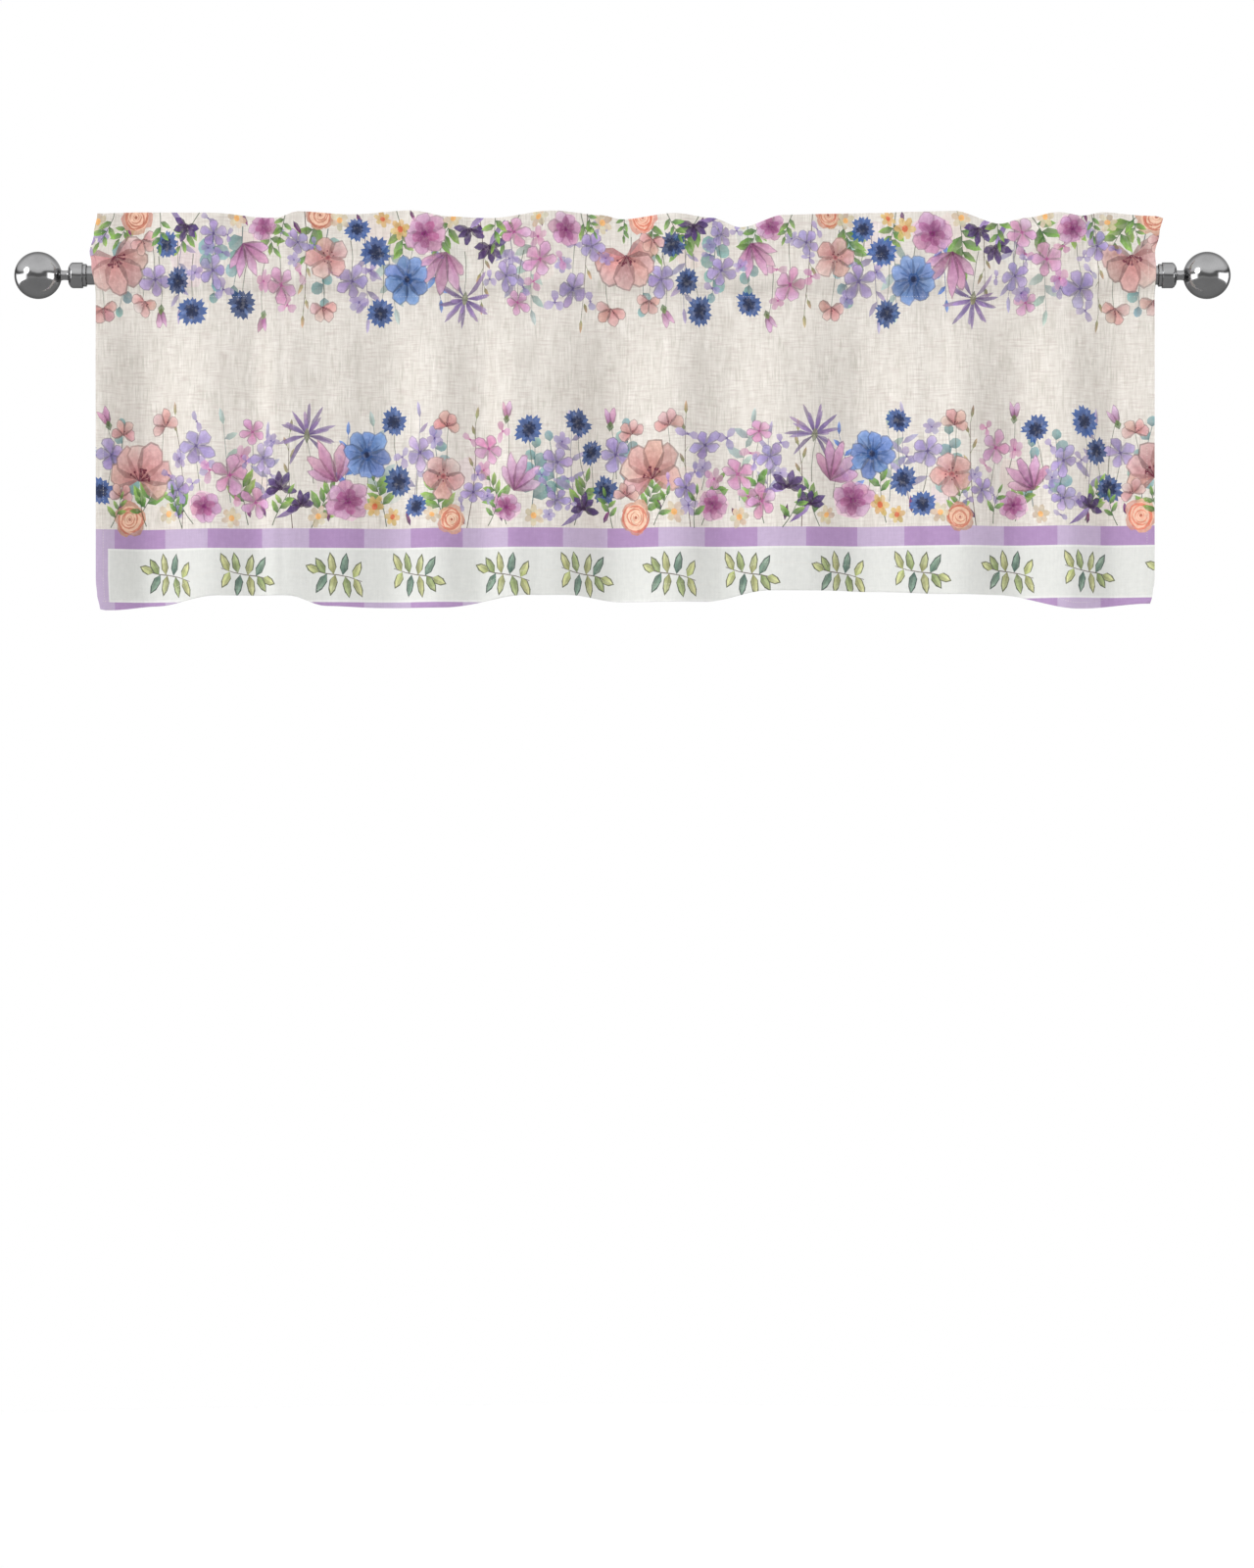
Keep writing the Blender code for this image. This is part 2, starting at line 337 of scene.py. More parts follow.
def flat_hem(x):
    """The place on the flat cloth of the hem's lowest line, where the bands hang a little uneven."""
    return along_table(HEM_LINE, x, 1) - BAND_RISE * x / (RIGHT - LEFT) - along_table(BAND_FOOT, x, 1)


def measure_flat():
    """The flat cloth's across values and the places along the rod that they hang at."""
    places = np.linspace(LEFT, RIGHT, 4000)
    depth = fold_at(places)
    steps = np.hypot(np.diff(places), np.diff(depth))
    along = np.concatenate([[0.0], np.cumsum(steps)])
    return along / along[-1] * FLAT_WIDTH, places


FLAT_ALONG, FLAT_PLACES = measure_flat()


def outward(across, up):
    """Unit normals of the hung sheet on its printed side."""
    step = 0.35
    along = hang(across + step, up) - hang(across - step, up)
    rise = hang(across, up + step) - hang(across, up - step)
    normal = np.cross(along, rise)
    return normal / np.linalg.norm(normal, axis=1, keepdims=True)


# Inks: outlines with a colour that runs from near to far, painted in order

Ink = namedtuple("Ink", "outline near far start reach cover wet")


def shade(colour, share):
    return tuple(np.clip(np.array(colour, float) * share, 0, 255))


def blend(first, second, share):
    return tuple(np.array(first, float) * (1 - share) + np.array(second, float) * share)


def varied(rng, colour, amount=0.06):
    """The colour a little lighter, darker, warmer or cooler."""
    return shade(colour, 1 + rng.normal(0, amount) + rng.normal(0, amount / 3, 3))


def tint(outline, near, far, reach, cover, wet=1.0):
    """An ink that is near in colour at 0, 0 and far at the distance reach from it."""
    return Ink(outline, near, far, (0, 0), reach, cover, wet)


def sliver(length, width, belly, blunt, bend=0.0, stations=(0.32, 0.66, 0.9)):
    """A leaf or petal outline from its foot at 0, 0 up to its tip. belly moves its widest place
    towards the tip, blunt fills its ends when below 1, and bend moves its tip aside."""
    t = np.array(stations)
    half = width / 2 * np.sin(np.pi * t**belly) ** blunt
    right = np.column_stack([half, t * length])
    left = np.column_stack([-half, t * length])[::-1]
    outline = np.vstack([[(0, 0)], right, [(0, length)], left])
    outline[:, 0] += bend * (outline[:, 1] / length) ** 2
    return outline


def petal(rng, length, width, near, far, belly=1.3, blunt=0.62, bend=0.0, cover=0.8, notch=0.0, layers=3):
    """A petal in wash colour: its whole, which shows as a darker edge, its middle and one side."""
    full = layers > 1 or width > 0.4
    outline = sliver(length, width, belly, blunt, bend, (0.32, 0.66, 0.9) if full else (0.45, 0.84))
    outline[len(outline) // 2, 1] -= notch * length
    outline[1:] *= 1 + rng.normal(0, 0.035, (len(outline) - 1, 1))
    near, far = varied(rng, near, 0.09), varied(rng, far, 0.06)
    cover *= rng.uniform(0.84, 1.06)
    edge = 0.68 if layers > 1 else 0.9
    inks = [tint(outline, shade(near, edge), shade(far, edge), length, cover)]
    if layers > 1:
        inner = outline[[0, 2, 3, 4, 5, 6]]
        middle = inner.mean(axis=0)
        inner = middle + (inner - middle) * 0.84
        inks.append(tint(inner, shade(near, 0.95), shade(far, 1.1), length, cover * 0.93))
    if layers > 2:
        side = outline[:5] if rng.uniform() < 0.5 else outline[[0, 4, 5, 6, 7]]
        inks.append(tint(side, near, shade(far, 0.93), length, cover * 0.35))
    return inks


def leaf(rng, length, width, near, far, bend=0.0, cover=0.86, parted=True):
    """A leaf, with one half lighter where it is parted along its midrib."""
    near, far = varied(rng, near), varied(rng, far)
    outline = sliver(length, width, 0.85, 0.9, bend, (0.3, 0.7))
    outline[1:] *= 1 + rng.normal(0, 0.02, (5, 1))
    half = outline[:4] if rng.uniform() < 0.5 else outline[[0, 3, 4, 5]]
    inks = [tint(outline, near, far, length, cover)]
    if parted:
        inks.append(tint(half, shade(near, 1.2), shade(far, 1.16), length, cover * 0.85))
    return inks


def round_leaf(rng, size, near, far):
    """A nearly round leaf, with one half lighter."""
    outline = sliver(size, size * rng.uniform(0.82, 1.0), 1.05, 0.5, rng.uniform(-0.1, 0.1) * size)
    near, far = varied(rng, near, 0.08), varied(rng, far, 0.08)
    return [tint(outline, near, far, size, 0.74), tint(outline[:5], near, shade(far, 1.15), size, 0.37)]


def spot(radius, near, far, points=9, ragged=0.0, cover=0.85, turn=0.0):
    """A round spot, or a star when ragged."""
    angle = np.linspace(0, 2 * np.pi, points, endpoint=False) + turn
    reach = radius * (1 - ragged * (np.arange(points) % 2))
    outline = np.column_stack([np.cos(angle) * reach, np.sin(angle) * reach])
    return [tint(outline, near, far, radius, cover)]


def ribbon(path, wide, colour, cover=0.85):
    """A stem along a path of points, thinner towards its end."""
    path = np.array(path, float)
    run = np.gradient(path, axis=0)
    side = np.column_stack([-run[:, 1], run[:, 0]])
    side /= np.linalg.norm(side, axis=1, keepdims=True)
    half = np.linspace(1.0, 0.55, len(path))[:, None] * wide / 2
    outline = np.vstack([path - side * half, (path + side * half)[::-1]])
    return [Ink(outline, colour, shade(colour, 1.1), tuple(path[0]), 100.0, cover, 1.0)]


def bow(start, end, sag, count=5):
    """Points on a slightly bowed line from start to end."""
    start, end = np.array(start, float), np.array(end, float)
    run = end - start
    side = np.array([-run[1], run[0]]) * sag
    t = np.linspace(0, 1, count)[:, None]
    return start + run * t + side * (4 * t * (1 - t))


def placed(inks, across=0.0, up=0.0, turn=0.0, size=1.0, squash=1.0, lean=0.0):
    """The inks squashed along the direction lean, scaled, turned by degrees and moved."""
    angle, tilt = math.radians(turn), math.radians(lean)
    spin = np.array([[math.cos(angle), math.sin(angle)], [-math.sin(angle), math.cos(angle)]])
    way = np.array([math.cos(tilt), math.sin(tilt)])
    flat = np.eye(2) - (1 - squash) * np.outer(way, way)
    matrix = spin @ flat * size
    shift = np.array([across, up])
    result = []
    for ink in inks:
        outline = np.asarray(ink.outline) @ matrix + shift
        start = np.array(ink.start) @ matrix + shift
        result.append(ink._replace(outline=outline, start=start, reach=ink.reach * size))
    return result


def ring_of(count, start, make):
    """The inks of each make() call, which point up, turned round a middle from the start angle."""
    inks = []
    for i in range(count):
        inks += placed(make(), turn=start + 360 * i / count)
    return inks


def petal_ring(rng, count, length, share, width, near, far, wave=0.0, **form):
    """Petals round a middle. Each one's length is multiplied by a share between the two given."""

    def one():
        long = length * rng.uniform(*share)
        bend = rng.uniform(-wave, wave) if wave else 0.0
        return petal(rng, long, width, near, far, bend=bend, **form)

    return ring_of(count, rng.uniform(0, 360 // count), one)


def around(angle, reach):
    """The point at an angle in radians and a distance from 0, 0."""
    return math.cos(angle) * reach, math.sin(angle) * reach


# Flowers, each drawn about its own middle with a diameter of 1 and scaled by its row


def floret(rng, near, far, eye, count=5, layers=2):
    """Loose round petals about a small star."""

    def one():
        length = 0.5 * rng.uniform(0.86, 1.08)
        wave = rng.uniform(-0.05, 0.05)
        wide = 0.36 * rng.uniform(0.85, 1.15)
        return petal(rng, length, wide, near, far, 1.45, 0.6, wave, 0.72, 0.03, layers)

    inks = ring_of(count, rng.uniform(0, 72), one)
    inks += spot(0.1, eye, near, 8, 0.6, 0.8, rng.uniform(0, 1))
    return placed(inks, squash=rng.uniform(0.74, 1.0), lean=rng.uniform(0, 180))


def clump(rng, near, far, eye):
    """A loose head of one large floret with smaller ones around and behind it."""
    inks = []
    start = rng.uniform(0, 360)
    for i in range(3):
        angle = math.radians(start + 120 * i + rng.uniform(-22, 22))
        reach = rng.uniform(0.32, 0.4)
        one = floret(rng, shade(near, 1.06), shade(far, 1.03), eye, (5, 3, 2)[i], layers=1)
        inks += placed(one, *around(angle, reach), size=rng.uniform(0.34, 0.44))
    return inks + placed(floret(rng, near, far, eye), size=0.64)


def cornflower(rng):
    """A ragged blue head, with paler rays over a deep middle."""

    def ragged(radius, rays, depth):
        outline = []
        for i in range(rays):
            length = radius * rng.uniform(0.86, 1.08)
            for offset, share in ((0.0, 1 - depth), (0.28, 0.97), (0.5, 0.84), (0.72, 1.02)):
                angle = 2 * math.pi * (i + offset + rng.uniform(-0.05, 0.05)) / rays
                outline.append((math.cos(angle) * length * share, math.sin(angle) * length * share))
        return np.array(outline)

    tone = rng.uniform(0.85, 1.15)
    deep, pale = shade(BLUE_DEEP, tone), shade(BLUE, tone)
    inks = [tint(ragged(0.5, 9, 0.28), deep, pale, 0.5, 0.92)]
    for i in range(4):
        turn = 360 * i / 4 + rng.uniform(-30, 30)
        ray = sliver(0.46 * rng.uniform(0.8, 1.0), 0.12, 1.3, 0.8, 0.0, (0.7,))
        inks += placed([tint(ray, BLUE, SKY, 0.46, 0.42)], turn=turn)
    inks.append(tint(ragged(0.27, 6, 0.35), shade(BLUE_DEEP, 0.6), BLUE_DEEP, 0.3, 0.8))
    return placed(inks, squash=rng.uniform(0.78, 1.0), lean=rng.uniform(0, 180))


def side_bloom(rng, near, far, dark, count, spread, stamens, layers):
    """A broad flower seen from the side, its petals fanned upwards from dark stamens."""
    inks = []
    order = sorted(range(count), key=lambda i: -abs(i - (count - 1) / 2))
    for i in order:
        turn = -spread / 2 + spread * i / (count - 1) + rng.uniform(-6, 6)
        length = 0.66 * rng.uniform(0.88, 1.04) * (1 - 0.1 * abs(turn) / 90)
        wide, wave = 0.44 * rng.uniform(0.9, 1.1), rng.uniform(-0.05, 0.05)
        one = petal(rng, length, wide, near, far, 1.35, 0.55, wave, 0.78, 0.04, layers)
        inks += placed(one, 0, -0.28, -turn)
    for _ in range(stamens):
        angle = math.radians(rng.uniform(-75, 75))
        tip = (math.sin(angle) * 0.17, math.cos(angle) * rng.uniform(0.1, 0.2) - 0.28)
        inks += ribbon([(0, -0.3), tip], 0.016, dark)
        inks += placed(spot(0.024, dark, dark, 5), *tip)
    return inks


def open_bloom(rng, near, far, dark):
    """A broad flower seen from the front."""
    form = {"blunt": 0.55, "cover": 0.78, "notch": 0.05}
    inks = petal_ring(rng, 5, 0.5, (0.88, 1.06), 0.42, near, far, 0.06, **form)
    for i in range(8):
        angle = 2 * math.pi * i / 8 + rng.uniform(-0.3, 0.3)
        inks += placed(spot(0.02, dark, dark, 5), *around(angle, rng.uniform(0.09, 0.15)))
    return inks + spot(0.06, dark, near, 7)


def rose(rng):
    """Round overlapping petals drawn with darker edges, wound about a small heart."""
    deep, pale = varied(rng, PEACH_DEEP, 0.04), varied(rng, PEACH, 0.03)
    form = {"belly": 1.35, "blunt": 0.42, "cover": 0.92, "layers": 1}
    inks = petal_ring(rng, 5, 0.5, (0.92, 1.04), 0.5, pale, blend(pale, deep, 0.35), **form)
    inks += spot(0.37, shade(pale, 1.03), pale, 11, 0.03, 0.8)
    turn = rng.uniform(0, 360)
    for reach, count, sweep in ((0.37, 3, 2.5), (0.27, 3, 2.5), (0.18, 2, 3.2), (0.1, 2, 3.2)):
        arc = np.linspace(-sweep / 2, sweep / 2, 6)
        away = reach * 0.16
        for i in range(count):
            wide = reach * rng.uniform(0.15, 0.24) * np.cos(arc / sweep * 2.9) ** 0.7
            out = np.column_stack([np.sin(arc) * reach, np.cos(arc) * reach])
            back = np.column_stack([np.sin(arc) * (reach - wide), np.cos(arc) * (reach - wide)])
            crescent = tint(np.vstack([out, back[1:-1][::-1]]), deep, shade(deep, 1.08), reach, 0.74)
            across, up = rng.uniform(-away, away), rng.uniform(-away, away)
            inks += placed([crescent], across, up, turn + 360 * i / count)
        turn += 52
    return inks + spot(0.05, shade(deep, 0.8), deep, 7)


def daisy(rng, near, far, eye):
    """Six soft petals round a round eye."""
    form = {"belly": 1.4, "blunt": 0.6, "cover": 0.88, "layers": 1}
    inks = petal_ring(rng, 6, 0.5, (0.85, 1.05), 0.31, near, far, **form)
    inks += spot(0.14, eye, shade(eye, 1.08), 7)
    return placed(inks, squash=rng.uniform(0.75, 1.0), lean=rng.uniform(0, 180))


def mum(rng):
    """Narrow curling petals that spray to one side."""
    inks = []
    for row, (count, spread, long) in enumerate(((9, 260, 0.62), (7, 190, 0.5), (5, 120, 0.36))):
        for i in range(count):
            turn = -spread / 2 + spread * i / (count - 1) + rng.uniform(-7, 7)
            length = long * rng.uniform(0.86, 1.1)
            pale = shade(MAUVE, 1 + 0.07 * row)
            one = petal(rng, length, 0.095, MAUVE_DEEP, pale, 1.3, 0.8, turn / 900, 0.82, 0.0, 1)
            inks += placed(one, 0, -0.14, -turn)
    inks += placed(petal(rng, 0.3, 0.14, LEAF_DEEP, OLIVE, 1.0, 0.8, 0, 0.7, 0, 1), 0, -0.3, 0)
    return inks


def flax(rng):
    """A wide soft blue flower with streaks and a deep middle."""

    def streak():
        ray = sliver(0.4 * rng.uniform(0.8, 1.05), 0.04, 1.0, 1.0, 0.0, (0.6,))
        return [tint(ray, BLUE_DEEP, BLUE, 0.4, 0.5)]

    form = {"belly": 1.45, "blunt": 0.5, "cover": 0.74, "notch": 0.05}
    inks = spot(0.42, SKY, shade(SKY, 1.1), 12, 0.06, 0.3)
    inks += petal_ring(rng, 8, 0.5, (0.9, 1.06), 0.33, BLUE, SKY, 0.05, **form)
    inks += ring_of(8, rng.uniform(0, 30), streak)
    inks += spot(0.13, BLUE_DEEP, BLUE, 12, 0.2, 0.75)
    return inks + spot(0.06, shade(BLUE_DEEP, 0.7), BLUE_DEEP, 7)


def cup(rng, near, far):
    """A crocus-like cup of upright petals, deeper at its foot."""
    inks = []
    for lean, tall in ((-46, 0.74), (44, 0.78), (-25, 0.95), (24, 0.92), (-3, 1.0)):
        one = petal(rng, tall, 0.3 * rng.uniform(0.9, 1.1), near, far, 1.2, 0.75, lean / 500, 0.74)
        inks += placed(one, 0, -0.46, -lean + rng.uniform(-5, 5))
    return inks


def peony(rng):
    """A loose magenta head, dark between its petals."""
    heart = shade(MAGENTA, 0.78)
    inks = spot(0.46, PINK, shade(PINK, 1.05), 12, 0.1, 0.5)
    form = {"blunt": 0.5, "cover": 0.6, "notch": 0.05}
    inks += petal_ring(rng, 7, 0.5, (0.82, 1.06), 0.38, MAGENTA, PINK, 0.08, **form)
    form = {"belly": 1.2, "blunt": 0.6, "cover": 0.66, "layers": 1}
    inks += petal_ring(rng, 5, 0.32, (0.85, 1.1), 0.24, heart, ROSE, **form)
    inks += spot(0.08, shade(MAGENTA, 0.6), MAGENTA, 9, 0.3)
    return placed(inks, squash=rng.uniform(0.8, 0.95), lean=rng.uniform(60, 120))


def dark_bloom(rng):
    """A small dark flower of pointed petals with a hanging mauve leaf."""
    inks = placed(leaf(rng, 0.95, 0.2, MAUVE, MAUVE_DEEP, 0.14), 0.05, -0.05, rng.choice([-118, 112, 140]))
    for lean in (-95, 90, -50, 46, -8):
        length, wave = 0.52 * rng.uniform(0.85, 1.1), rng.uniform(-0.05, 0.05)
        one = petal(rng, length, 0.25, PLUM, MAUVE_DEEP, 1.05, 0.8, wave, 0.86)
        inks += placed(one, 0, -0.1, lean + rng.uniform(-10, 10))
    return inks + placed(spot(0.09, (40, 18, 52), PLUM, 7, 0.2), 0, -0.08)


def bud(rng, near, far):
    """A closed bud in its green cup."""
    inks = placed(petal(rng, 0.86, 0.36, near, far, 1.0, 0.8, 0.08), 0, -0.36)
    inks += placed(petal(rng, 0.8, 0.26, near, far, 0.9, 0.8, -0.1), 0, -0.36, 14)
    inks += placed(petal(rng, 0.4, 0.3, LEAF_DEEP, LEAF, 0.9, 0.8, 0, 0.8, 0, 1), 0, -0.5)
    return inks


# Greenery, in millimetres with its foot at 0, 0


def point_on(path, share):
    """The point at a share of a path's points."""
    along = np.linspace(0, 1, len(path))
    return np.interp(share, along, path[:, 0]), np.interp(share, along, path[:, 1])


def spray(rng, tall, near, far, pairs, long, wide, kind="leaf", bare=1):
    """A stem with leaves on both sides. Its foot is left out where it is bare."""
    sway = rng.uniform(-0.16, 0.16) * tall
    path = bow((0, 0), (sway, tall), rng.uniform(-0.07, 0.07))
    inks = ribbon(path[bare:], 1.3, shade(near, 0.88), 0.8)
    side = rng.choice([-1, 1])
    for i in range(pairs * 2):
        t = 0.38 + 0.58 * i / (pairs * 2)
        scale = (1.16 - 0.5 * t) * rng.uniform(0.8, 1.15)
        turn = side * rng.uniform(34, 66)
        side = -side
        if rng.uniform() < 0.1:
            continue
        if kind == "round":
            blade = round_leaf(rng, long * scale, near, far)
        else:
            bend = rng.uniform(-2, 2)
            blade = leaf(rng, long * scale, wide * scale, near, far, bend, parted=kind == "leaf")
        inks += placed(blade, *point_on(path, t), turn)
    if kind == "round":
        tip = round_leaf(rng, long * 0.6, near, far)
    else:
        tip = leaf(rng, long * 0.75, wide * 0.6, near, far)
    return inks + placed(tip, *path[-1], rng.uniform(-15, 15))


def bud_twig(rng, tall):
    """A thin branching twig with long pointed buds."""
    sway = rng.uniform(-14, 14)
    path = bow((0, 0), (sway, tall * 0.86), rng.uniform(-0.05, 0.05), 4)
    inks = ribbon(path, 1.2, BARK)
    for t, turn, long in ((0.55, 24, 13), (0.7, -22, 15), (0.85, 20, 12), (1.0, -4, 16)):
        stalk = ribbon([(0, 0), (0.6, 7)], 0.9, OLIVE_DEEP, 0.85)
        head = placed(leaf(rng, long, 4.8, OLIVE_DEEP, varied(rng, (184, 150, 124), 0.1)), 0.6, 6)
        inks += placed(stalk + head, *point_on(path, t), turn + rng.uniform(-7, 7))
    return inks


def leafy_branch(rng, long, pairs=3):
    """A short arching branch of bright pointed leaves."""
    turn = rng.choice([-1, 1]) * rng.uniform(6, 34)
    fresh = blend(LEAF, (168, 196, 96), rng.uniform(0, 0.7))
    return placed(spray(rng, long, LEAF_DEEP, fresh, pairs, long * 0.5, long * 0.22, bare=0), turn=turn)


def leaf_sprig(simple):
    """The band's sprig about its own middle: nine leaves on a short bowed stem. The simple one has
    its leaves in one tone, without an edge."""
    rng = np.random.default_rng(5)
    path = np.array([(-27, 3), (-14, 0), (0, -1.5), (14, -4), (30, -9)])
    inks = ribbon(path, 1.5, (84, 68, 56))
    yellow_green = ((142, 148, 94), (196, 200, 148))
    blue_green = ((78, 108, 96), (140, 160, 142))
    fresh_green = ((112, 128, 82), (176, 186, 130))
    rows = (
        (-23, 2, 66, 17, yellow_green),
        (-15, 0, 34, 21, fresh_green),
        (-5, -1, 10, 25, yellow_green),
        (6, -2, -10, 25, blue_green),
        (19, -5, -28, 20, yellow_green),
        (-13, 0, 148, 25, blue_green),
        (-3, -1, 166, 24, yellow_green),
        (9, -3, 192, 24, fresh_green),
        (20, -5, 206, 23, yellow_green),
    )
    for x, y, turn, long, (near, far) in rows:
        edge = sliver(long + 1.6, 11.2, 0.85, 0.85, 0.0, (0.3, 0.7))
        edge = tint(edge, shade(near, 0.58), shade(near, 0.66), long, 0.92, 0.6)
        whole = leaf(rng, long - 0.6, 8.8, near, far, cover=0.95)
        inks += placed(whole[:1] if simple else [edge, *whole], x, y, turn)
    outlines = np.vstack([ink.outline for ink in inks])
    return placed(inks, *(outlines.min(axis=0) + outlines.max(axis=0)) / -2)


Sprout = namedtuple("Sprout", "kind across up size")
# One repeat of the border. Greenery stands on its foot, and heads go by their middles.
GREENERY = table_of(
    Sprout,
    ("teal", 18, 0, 100), ("heather", 52, 0, 118), ("teal", 128, 0, 116), ("twig", 196, 0, 146),
    ("sage", 262, 0, 120), ("heather", 300, 0, 104), ("twig", 338, 0, 122), ("blue", 402, 0, 108),
    ("sage", 446, 0, 118), ("heather", 486, 0, 128), ("teal", 522, 0, 106), ("twig", 560, 0, 140),
    ("teal", 640, 0, 92),
)
HEADS = table_of(
    Sprout,
    ("lilac clump", 20, 76, 66), ("pink bud", 92, 128, 30), ("small coral", 116, 118, 31),
    ("small coral", 168, 128, 34), ("cornflower", 48, 122, 40), ("lilac", 98, 86, 44),
    ("cornflower", 66, 88, 34), ("lilac clump", 216, 96, 76), ("pink clump", 258, 62, 76),
    ("pink", 286, 112, 36), ("lilac clump", 300, 82, 62), ("mum", 356, 116, 60),
    ("dark", 322, 50, 42), ("cup", 384, 76, 52), ("flax", 430, 86, 62),
    ("cornflower", 464, 124, 36), ("lilac clump", 500, 88, 72), ("cornflower", 470, 54, 40),
    ("small coral", 536, 126, 32), ("coral", 530, 60, 58), ("pink clump", 588, 92, 70),
    ("pink bud", 614, 134, 28), ("cornflower", 640, 114, 38), ("cup", 630, 62, 46),
    ("side coral", 142, 78, 74), ("lilac clump", 190, 46, 62), ("cornflower", 84, 44, 38),
    ("dark", 56, 26, 40), ("small coral", 112, 46, 30), ("dark", 348, 30, 38),
    ("peony", 406, 32, 60), ("peony", 226, 26, 46), ("lilac clump", 20, 32, 54),
    ("cornflower", 494, 26, 34), ("pink", 290, 30, 44), ("lilac clump", 568, 42, 56),
    ("gold daisy", 440, 26, 30), ("peony", 612, 24, 42), ("daisy", 176, 18, 30),
    ("daisy", 370, 14, 28), ("daisy", 260, 12, 28), ("gold daisy", 462, 14, 24),
    ("rose", 124, 12, 44), ("rose", 540, 10, 37), ("daisy", 516, 16, 26), ("daisy", 646, 14, 28),
)
# Where bright leaves grow in front of the heads
FRONT_SPRIGS = (97, 150, 200, 318, 582)
# Heads above this height show their stems.
STEM_FROM = 74
# Each kind's drawing, with its colours and counts
KINDS = {
    "cornflower": (cornflower,),
    "lilac": (floret, LILAC_DEEP, LILAC, shade(LILAC_DEEP, 0.55)),
    "lilac clump": (clump, LILAC_DEEP, LILAC, shade(LILAC_DEEP, 0.55)),
    "pink": (floret, ROSE, PINK, MAGENTA),
    "pink clump": (clump, ROSE, PINK, MAGENTA),
    "small coral": (side_bloom, CORAL_DEEP, CORAL, MAROON, 4, 170, 4, 2),
    "side coral": (side_bloom, CORAL_DEEP, CORAL, MAROON, 6, 190, 13, 3),
    "coral": (open_bloom, CORAL_DEEP, CORAL, MAROON),
    "pink bud": (bud, MAGENTA, PINK),
    "mum": (mum,),
    "cup": (cup, MAGENTA, PINK),
    "dark": (dark_bloom,),
    "flax": (flax,),
    "peony": (peony,),
    "daisy": (daisy, CREAM, shade(CREAM, 0.96), YOLK),
    "gold daisy": (daisy, YOLK, (246, 214, 140), (206, 92, 60)),
    "rose": (rose,),
    "teal": (spray, TEAL_DEEP, TEAL, 3, 22, 21, "round"),
    "heather": (spray, shade(HEATHER, 0.76), HEATHER, 3, 27, 9, "plain"),
    "sage": (spray, shade(SAGE, 0.74), SAGE, 3, 27, 12, "plain"),
    "blue": (spray, BLUE, SKY, 3, 22, 9),
    "twig": (bud_twig,),
}


def sprout_inks(rng, kind, *size):
    """The inks of one kind of head or greenery. Only greenery is told its size."""
    draw, *look = KINDS[kind]
    return draw(rng, *size, *look)


def in_sight(ink, start):
    """Whether any of a leaf's outline lies outside the middles of the heads printed over it."""
    for row in HEADS:
        away = np.hypot(*(ink.outline - (start + row.across, row.up)).T)
        if away.max() < row.size * 0.36:
            return False
    return True


def border_inks(seed):
    """The flower border over the cloth's whole width, on a foot line at 0."""
    rng = np.random.default_rng(seed)
    inks = []
    start = -BORDER_REPEAT * BORDER_LEAD

    def add_behind(whole):
        inks.extend(ink for ink in whole if in_sight(ink, start))

    while start < FLAT_WIDTH:
        for i in range(6):
            colour = (SAGE, PINK, LILAC, TEAL, CORAL)[rng.integers(5)]
            wash = spot(1.0, colour, shade(colour, 1.08), 9, rng.uniform(0.0, 0.16), rng.uniform(0.1, 0.2))
            across = start + BORDER_REPEAT * (i + rng.uniform(0.1, 0.9)) / 6
            up, turn, size = rng.uniform(26, 72), rng.uniform(0, 360), rng.uniform(20, 34)
            inks.extend(placed(wash, across, up, turn, size, squash=0.7, lean=30))
        for row in GREENERY:
            add_behind(placed(sprout_inks(rng, row.kind, row.size), start + row.across, row.up))
        for row in HEADS:
            if row.up > STEM_FROM:
                foot = (row.across + rng.uniform(-10, 10), row.up * 0.45)
                path = bow(foot, (row.across, row.up - row.size * 0.2), rng.uniform(-0.06, 0.06), 4)
                inks.extend(placed(ribbon(path, 1.2, STEM, 0.75), start))
        for i in range(8):
            across = start + BORDER_REPEAT * (i + 0.5) / 8 + rng.uniform(-9, 9)
            add_behind(placed(leafy_branch(rng, rng.uniform(42, 62)), across, rng.uniform(0, 6)))
        for i in range(9):
            across = start + BORDER_REPEAT * (i + rng.uniform(0.1, 0.9)) / 9
            dark = leaf(rng, rng.uniform(13, 20), rng.uniform(5, 7), PLUM, varied(rng, (132, 40, 110), 0.1))
            add_behind(placed(dark, across, rng.uniform(2, 22), rng.uniform(-40, 40)))
        for row in HEADS:
            turn = rng.uniform(-24, 24)
            inks.extend(placed(sprout_inks(rng, row.kind), start + row.across, row.up, turn, row.size))
        for across in FRONT_SPRIGS:
            sprig = leafy_branch(rng, rng.uniform(30, 42), 2)
            inks.extend(placed(sprig, start + across + rng.uniform(-5, 5), rng.uniform(-1, 4)))
        start += BORDER_REPEAT
    return [ink for ink in inks if -BORDER_MARGIN < ink.outline[0][0] < FLAT_WIDTH + BORDER_MARGIN]


def block(left, right, ends, colour, cover):
    """A plain block of print between two heights, given in any order."""
    low, high = sorted(ends)
    outline = np.array([(left, low), (right, low), (right, high), (left, high)], float)
    return Ink(outline, colour, colour, (left, low), 1.0, cover, 0.2)


